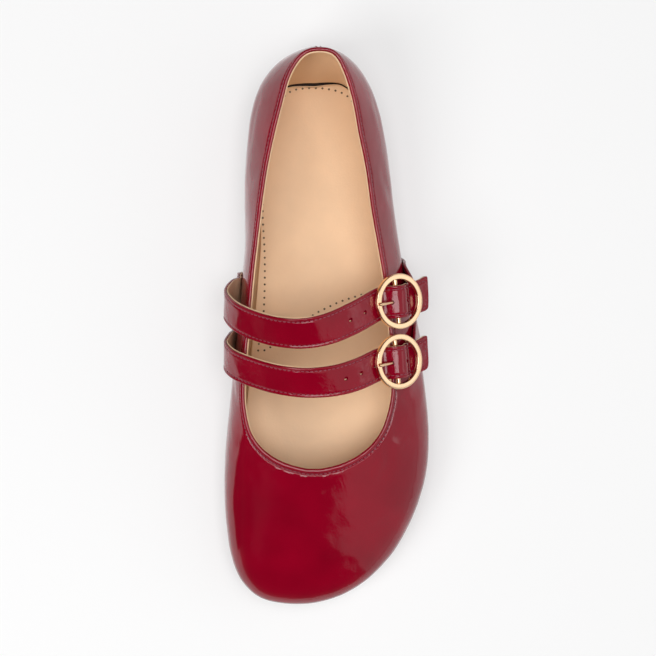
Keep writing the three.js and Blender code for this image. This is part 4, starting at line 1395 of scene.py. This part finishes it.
def tint(tree, surface, shade, base, dark, light, low=0.3, high=0.7):
    """Feeds Base Color with a colour that drifts from dark to light shares of base by a mask."""
    ramp = add(tree, "ShaderNodeMapRange", {"Value": shade, "From Min": low, "From Max": high})
    mix = add(tree, "ShaderNodeMix", {
        "Factor": ramp.outputs[0], 6: (*scaled(base, dark), 1), 7: (*scaled(base, light), 1),
    }, data_type="RGBA")
    tree.links.new(mix.outputs[2], surface.inputs["Base Color"])


def raised(tree, surface, height):
    bump = add(tree, "ShaderNodeBump", {"Height": height, "Strength": 1.0, "Distance": 1.0})
    tree.links.new(bump.outputs[0], surface.inputs["Normal"])


def patent_leather(name, settings, fine=1.0):
    """Glossy crinkled leather; fine is how strong its finest crinkle is."""
    material, tree, surface, place = new_material(name)
    crinkle = add(tree, "ShaderNodeGroup", {
        "Vector": place, "Broad Depth": 0.00022 + 0.00002 * fine, "Fine Depth": 0.00002 * fine,
    }, node_tree=crinkle_effect())
    tint(tree, surface, crinkle.outputs["Shade"], settings.patent_colour, 0.86, 1.1)
    surface.inputs["Roughness"].default_value = 0.1
    surface.inputs["IOR"].default_value = 1.5
    raised(tree, surface, crinkle.outputs["Height"])
    return material


def grained(name, base, dark, light, pore_scale, depth, roughness):
    """Material with fine grain, its nodes, surface shader and shade mask."""
    material, tree, surface, place = new_material(name)
    pores = add(tree, "ShaderNodeGroup", {
        "Vector": place, "Pore Scale": pore_scale, "Depth": depth,
    }, node_tree=grain_effect())
    tint(tree, surface, pores.outputs["Shade"], base, dark, light)
    surface.inputs["Roughness"].default_value = roughness
    raised(tree, surface, pores.outputs["Height"])
    return material, tree, surface, pores.outputs["Shade"]


def lining_leather(name, settings):
    return grained(name, settings.lining_colour, 0.93, 1.05, 900, 0.00003, 0.55)[0]


def rubber(name, settings):
    return grained(name, settings.rubber_colour, 0.8, 1.25, 1500, 0.00002, 0.6)[0]


def pale_brass(name, settings):
    """Polished metal of the buckles with faint uneven gloss."""
    material, tree, surface, shade = grained(
        name, settings.brass_colour, 0.93, 1.03, 500, 0.000003, 0.2,
    )
    surface.inputs["Metallic"].default_value = 1.0
    rough = add(tree, "ShaderNodeMapRange", {"Value": shade, "To Min": 0.14, "To Max": 0.26})
    tree.links.new(rough.outputs[0], surface.inputs["Roughness"])
    return material


def thread_finish(name, settings):
    """Twisted thread."""
    material, tree, surface, place = new_material(name)
    twist = add(
        tree, "ShaderNodeTexWave", {"Vector": place, "Scale": 900.0, "Distortion": 1.5},
        bands_direction="DIAGONAL",
    ).outputs["Fac"]
    tint(tree, surface, twist, settings.thread_colour, 0.7, 1.2, 0.0, 1.0)
    surface.inputs["Roughness"].default_value = 0.55
    raised(tree, surface, maths(tree, "MULTIPLY", twist, 0.00003))
    return material


def painted_hole_shade(name, settings):
    """Painted shade of the inside of a perforation."""
    material, tree, surface, place = new_material(name)
    cloud = add(tree, "ShaderNodeTexNoise", {"Vector": place, "Scale": 300.0})
    # Painted shade: the lining colour darkened to a sixth, with a faint cloud
    tint(tree, surface, cloud.outputs[0], scaled(settings.lining_colour, 0.16), 0.6, 1.2)
    surface.inputs["Roughness"].default_value = 0.9
    return material


# Stage, in metres

# Lights: place, aim, size, power in watts, whether gloss shows it, roll in degrees
LIGHTS = {
    "Overhead": ((-0.05, 0.0, 1.6), (-0.05, 0, 0), (1.0, 1.0), 16.5, True, 0),
    "Key": ((-0.85, -0.5, 1.1), (0, 0, 0), (0.7, 0.7), 10, False, 0),
    "Window": ((1.0, -0.04, 1.35), (0, -0.04, 1.35), (2.9, 3.6), 18.5, True, 10),
    "Buckle light": ((0.84, -0.02, 0.45), (0.03, 0, 0.045), (0.3, 0.26), 0.2, True, 0),
}
CAMERA_PLACE = (-0.061, -0.005, 0.800)
CAMERA_AIM = (0.0, 0.0, 0.02)
CAMERA_LENS = 94.9  # mm
FLOOR_HALF = 3.0
FLOOR_DROP = 0.0004
FLOOR_WHITE = 0.5
FLOOR_GLOW = 0.42
FLAG_CORNERS = [
    (-0.135, -0.14, 0), (-0.125, 0.04, 0), (-0.125, 0.04, 0.05), (-0.135, -0.14, 0.05),
]
# Surroundings: place from the horizon up, brightness
SKY = ((0.0, 0.22), (0.25, 0.06), (0.6, 0.012))


def softbox(name, place, aim, size, power, gloss, roll):
    """Area light that looks at a point; gloss off hides it in reflections."""
    lamp = bpy.data.lights.new(name, "AREA")
    lamp.shape = "RECTANGLE"
    lamp.size, lamp.size_y = size
    lamp.energy = power
    obj = bpy.data.objects.new(name, lamp)
    bpy.context.scene.collection.objects.link(obj)
    look = (Vector(aim) - Vector(place)).to_track_quat("-Z", "Y").to_matrix()
    turn = look @ Matrix.Rotation(math.radians(roll), 3, "Z")
    obj.matrix_world = Matrix.Translation(place) @ turn.to_4x4()
    obj.visible_glossy = gloss
    obj.visible_camera = False


def make_floor():
    """White floor that glows a little, with painted shade that darkens it away from the shoe."""
    mesh = bpy.data.meshes.new("floor")
    size = FLOOR_HALF
    corners = [(-size, -size, 0), (size, -size, 0), (size, size, 0), (-size, size, 0)]
    mesh.from_pydata(corners, [], [(0, 1, 2, 3)])
    material, tree, surface, place = new_material("Studio floor")
    # Painted shade: colour and glow fall to a quarter of white away from the shoe
    far = add(tree, "ShaderNodeVectorMath", {0: place}, operation="LENGTH").outputs["Value"]
    near = add(tree, "ShaderNodeMapRange", {
        "Value": far, "From Min": 0.3, "From Max": 0.9, "To Min": 1.0, "To Max": 0.25,
    }, interpolation_type="SMOOTHSTEP").outputs[0]
    paint = add(
        tree, "ShaderNodeMix", {"Factor": near, 6: (0, 0, 0, 1), 7: (1, 1, 1, 1)}, data_type="RGBA",
    ).outputs[2]
    base = add(
        tree, "ShaderNodeVectorMath", {0: paint, "Scale": FLOOR_WHITE}, operation="SCALE",
    )
    tree.links.new(base.outputs[0], surface.inputs["Base Color"])
    tree.links.new(paint, surface.inputs["Emission Color"])
    surface.inputs["Emission Strength"].default_value = FLOOR_GLOW
    surface.inputs["Roughness"].default_value = 0.9
    surface.inputs["Specular IOR Level"].default_value = 0.1
    floor = new_object("floor", mesh, [material])
    floor.location.z = -FLOOR_DROP


def make_flag():
    """Dark red card beside the toe that only the patent leather reflects."""
    mesh = bpy.data.meshes.new("flag")
    mesh.from_pydata(FLAG_CORNERS, [], [(0, 1, 2, 3)])
    material, tree, surface, place = new_material("Flag")
    cloud = add(tree, "ShaderNodeTexNoise", {"Vector": place, "Scale": 12.0})
    tint(tree, surface, cloud.outputs[0], (0.03, 0.0, 0.003), 1, 2)
    flag = new_object("flag", mesh, [material])
    flag.visible_camera = False
    flag.visible_diffuse = False
    flag.visible_shadow = False


def make_world(settings):
    """Studio surroundings: pale at the horizon and dark overhead."""
    world = bpy.data.worlds.new("Studio")
    world.use_nodes = True
    tree = world.node_tree
    tree.nodes.clear()
    place = add(tree, "ShaderNodeTexCoord").outputs["Generated"]
    height = add(tree, "ShaderNodeSeparateXYZ", {0: place}).outputs["Z"]
    ramp = add(tree, "ShaderNodeValToRGB", {"Fac": height})
    elements = ramp.color_ramp.elements
    elements.remove(elements[1])
    for i, (rise, grey) in enumerate(SKY):
        element = elements.new(rise) if i else elements[0]
        element.color = (grey, grey, grey, 1)
    light = add(tree, "ShaderNodeBackground", {
        "Color": ramp.outputs[0], "Strength": settings.world_strength,
    })
    add(tree, "ShaderNodeOutputWorld", {"Surface": light.outputs[0]})
    bpy.context.scene.world = world


def make_camera():
    data = bpy.data.cameras.new("Camera")
    data.sensor_width = 36
    data.lens = CAMERA_LENS
    camera = bpy.data.objects.new("Camera", data)
    bpy.context.scene.collection.objects.link(camera)
    place = Vector(CAMERA_PLACE)
    back = (place - Vector(CAMERA_AIM)).normalized()
    right = Vector((0, 1, 0)).cross(back).normalized()
    turn = Matrix((right, back.cross(right), back)).transposed()
    camera.matrix_world = Matrix.Translation(place) @ turn.to_4x4()
    bpy.context.scene.camera = camera


def make_stage(settings):
    make_floor()
    make_flag()
    make_world(settings)
    for name, (place, aim, size, power, gloss, roll) in LIGHTS.items():
        softbox(name, place, aim, size, power * settings.key_strength, gloss, roll)
    make_camera()
    view = bpy.context.scene.view_settings
    view.view_transform = "Standard"
    view.look = "None"
    view.exposure = 0
    view.gamma = 1


# Add-on

class ShoeSettings(bpy.types.PropertyGroup):
    """Sizes and colours that a user would change."""

    stitch_pitch: FloatProperty(
        name="Stitch pitch", description="Stitch to stitch", default=0.00195, unit="LENGTH")
    stitch_length: FloatProperty(
        name="Stitch length", description="Length of one stitch", default=0.0015, unit="LENGTH")
    thread_width: FloatProperty(
        name="Thread", description="Width of the thread", default=0.0005, unit="LENGTH")
    topline_inset: FloatProperty(
        name="Topline row", description="Stitches below the top edge", default=0.0022,
        unit="LENGTH")
    strap_stitch_inset: FloatProperty(
        name="Strap rows", description="Stitches from a strap's edge", default=0.0015,
        unit="LENGTH")
    hole_size: FloatProperty(
        name="Hole", description="Strap hole across", default=0.0019, unit="LENGTH")
    dot_pitch: FloatProperty(
        name="Dot pitch", description="Footbed dots apart", default=0.00305, unit="LENGTH")
    dot_size: FloatProperty(
        name="Dot", description="Footbed dot across", default=0.001, unit="LENGTH")
    crease_depth: FloatProperty(
        name="Creases", description="Depth of the soft creases, as a share", default=1.0,
        soft_min=0.0, soft_max=2.0, subtype="FACTOR")
    key_strength: FloatProperty(
        name="Lights", description="Power of the studio lights, as a share", default=1.0,
        soft_min=0.0, soft_max=2.0, subtype="FACTOR")
    world_strength: FloatProperty(
        name="Surroundings", description="Light of the surroundings", default=0.8,
        soft_min=0.0, soft_max=2.0, subtype="FACTOR")
    patent_colour: FloatVectorProperty(
        name="Patent leather", description="Colour of the upper", subtype="COLOR",
        default=(0.235, 0.0005, 0.012))
    lining_colour: FloatVectorProperty(
        name="Lining", description="Colour of lining and footbed", subtype="COLOR",
        default=(0.82, 0.57, 0.355))
    rubber_colour: FloatVectorProperty(
        name="Sole", description="Colour of the outsole", subtype="COLOR",
        default=(0.022, 0.012, 0.008))
    brass_colour: FloatVectorProperty(
        name="Brass", description="Colour of the buckles", subtype="COLOR",
        default=(0.95, 0.64, 0.4))
    thread_colour: FloatVectorProperty(
        name="Thread", description="Colour of the stitches", subtype="COLOR",
        default=(0.26, 0.05, 0.075))


class SHOE_OT_upper(bpy.types.Operator):
    """Patent leather upper with its rolled edge, and the lining inside it"""

    bl_idname = "shoe.upper"
    bl_label = "Upper and lining"
    bl_options = {"REGISTER", "UNDO"}

    def execute(self, context):
        make_patent_upper(context.scene.shoe_settings)
        make_lining(context.scene.shoe_settings)
        return {"FINISHED"}


class SHOE_OT_footbed(bpy.types.Operator):
    """Footbed with its perforated line"""

    bl_idname = "shoe.footbed"
    bl_label = "Footbed"
    bl_options = {"REGISTER", "UNDO"}

    def execute(self, context):
        make_footbed(context.scene.shoe_settings)
        make_perforations(context.scene.shoe_settings)
        return {"FINISHED"}


class SHOE_OT_outsole(bpy.types.Operator):
    """Rubber outsole and the tread under it"""

    bl_idname = "shoe.outsole"
    bl_label = "Outsole"
    bl_options = {"REGISTER", "UNDO"}

    def execute(self, context):
        make_outsole(context.scene.shoe_settings)
        make_tread(context.scene.shoe_settings)
        return {"FINISHED"}


class SHOE_OT_straps(bpy.types.Operator):
    """Both straps with their linings and holes, and the buckle tabs"""

    bl_idname = "shoe.straps"
    bl_label = "Straps and tabs"
    bl_options = {"REGISTER", "UNDO"}

    def execute(self, context):
        make_straps(context.scene.shoe_settings)
        make_tabs(context.scene.shoe_settings)
        return {"FINISHED"}


class SHOE_OT_buckles(bpy.types.Operator):
    """Rings, bars and tongues of the buckles"""

    bl_idname = "shoe.buckles"
    bl_label = "Buckles"
    bl_options = {"REGISTER", "UNDO"}

    def execute(self, context):
        make_buckles(context.scene.shoe_settings)
        return {"FINISHED"}


class SHOE_OT_stitches(bpy.types.Operator):
    """Stitch rows of the topline, back seam, straps and tabs"""

    bl_idname = "shoe.stitches"
    bl_label = "Stitches"
    bl_options = {"REGISTER", "UNDO"}

    def execute(self, context):
        make_stitches(context.scene.shoe_settings)
        return {"FINISHED"}


class SHOE_OT_stage(bpy.types.Operator):
    """Floor, lights and camera"""

    bl_idname = "shoe.stage"
    bl_label = "Stage"
    bl_options = {"REGISTER", "UNDO"}

    def execute(self, context):
        make_stage(context.scene.shoe_settings)
        return {"FINISHED"}


OPERATORS = (
    SHOE_OT_upper, SHOE_OT_footbed, SHOE_OT_outsole, SHOE_OT_straps, SHOE_OT_buckles,
    SHOE_OT_stitches, SHOE_OT_stage,
)


class SHOE_PT_panel(bpy.types.Panel):
    """Sidebar panel with the steps and sizes of the shoe"""

    bl_label = "Mary jane shoe"
    bl_space_type = "VIEW_3D"
    bl_region_type = "UI"
    bl_category = "Shoe"

    def draw(self, context):
        for operator in OPERATORS:
            self.layout.operator(operator.bl_idname)
        for name in ShoeSettings.__annotations__:
            self.layout.prop(context.scene.shoe_settings, name)


CLASSES = (ShoeSettings, *OPERATORS, SHOE_PT_panel)


def register():
    for cls in CLASSES:
        bpy.utils.register_class(cls)
    bpy.types.Scene.shoe_settings = PointerProperty(type=ShoeSettings)


def unregister():
    del bpy.types.Scene.shoe_settings
    for cls in reversed(CLASSES):
        bpy.utils.unregister_class(cls)


def main():
    register()
    bpy.ops.shoe.upper()
    bpy.ops.shoe.footbed()
    bpy.ops.shoe.outsole()
    bpy.ops.shoe.straps()
    bpy.ops.shoe.buckles()
    bpy.ops.shoe.stitches()
    bpy.ops.shoe.stage()


if __name__ == "__main__":
    main()
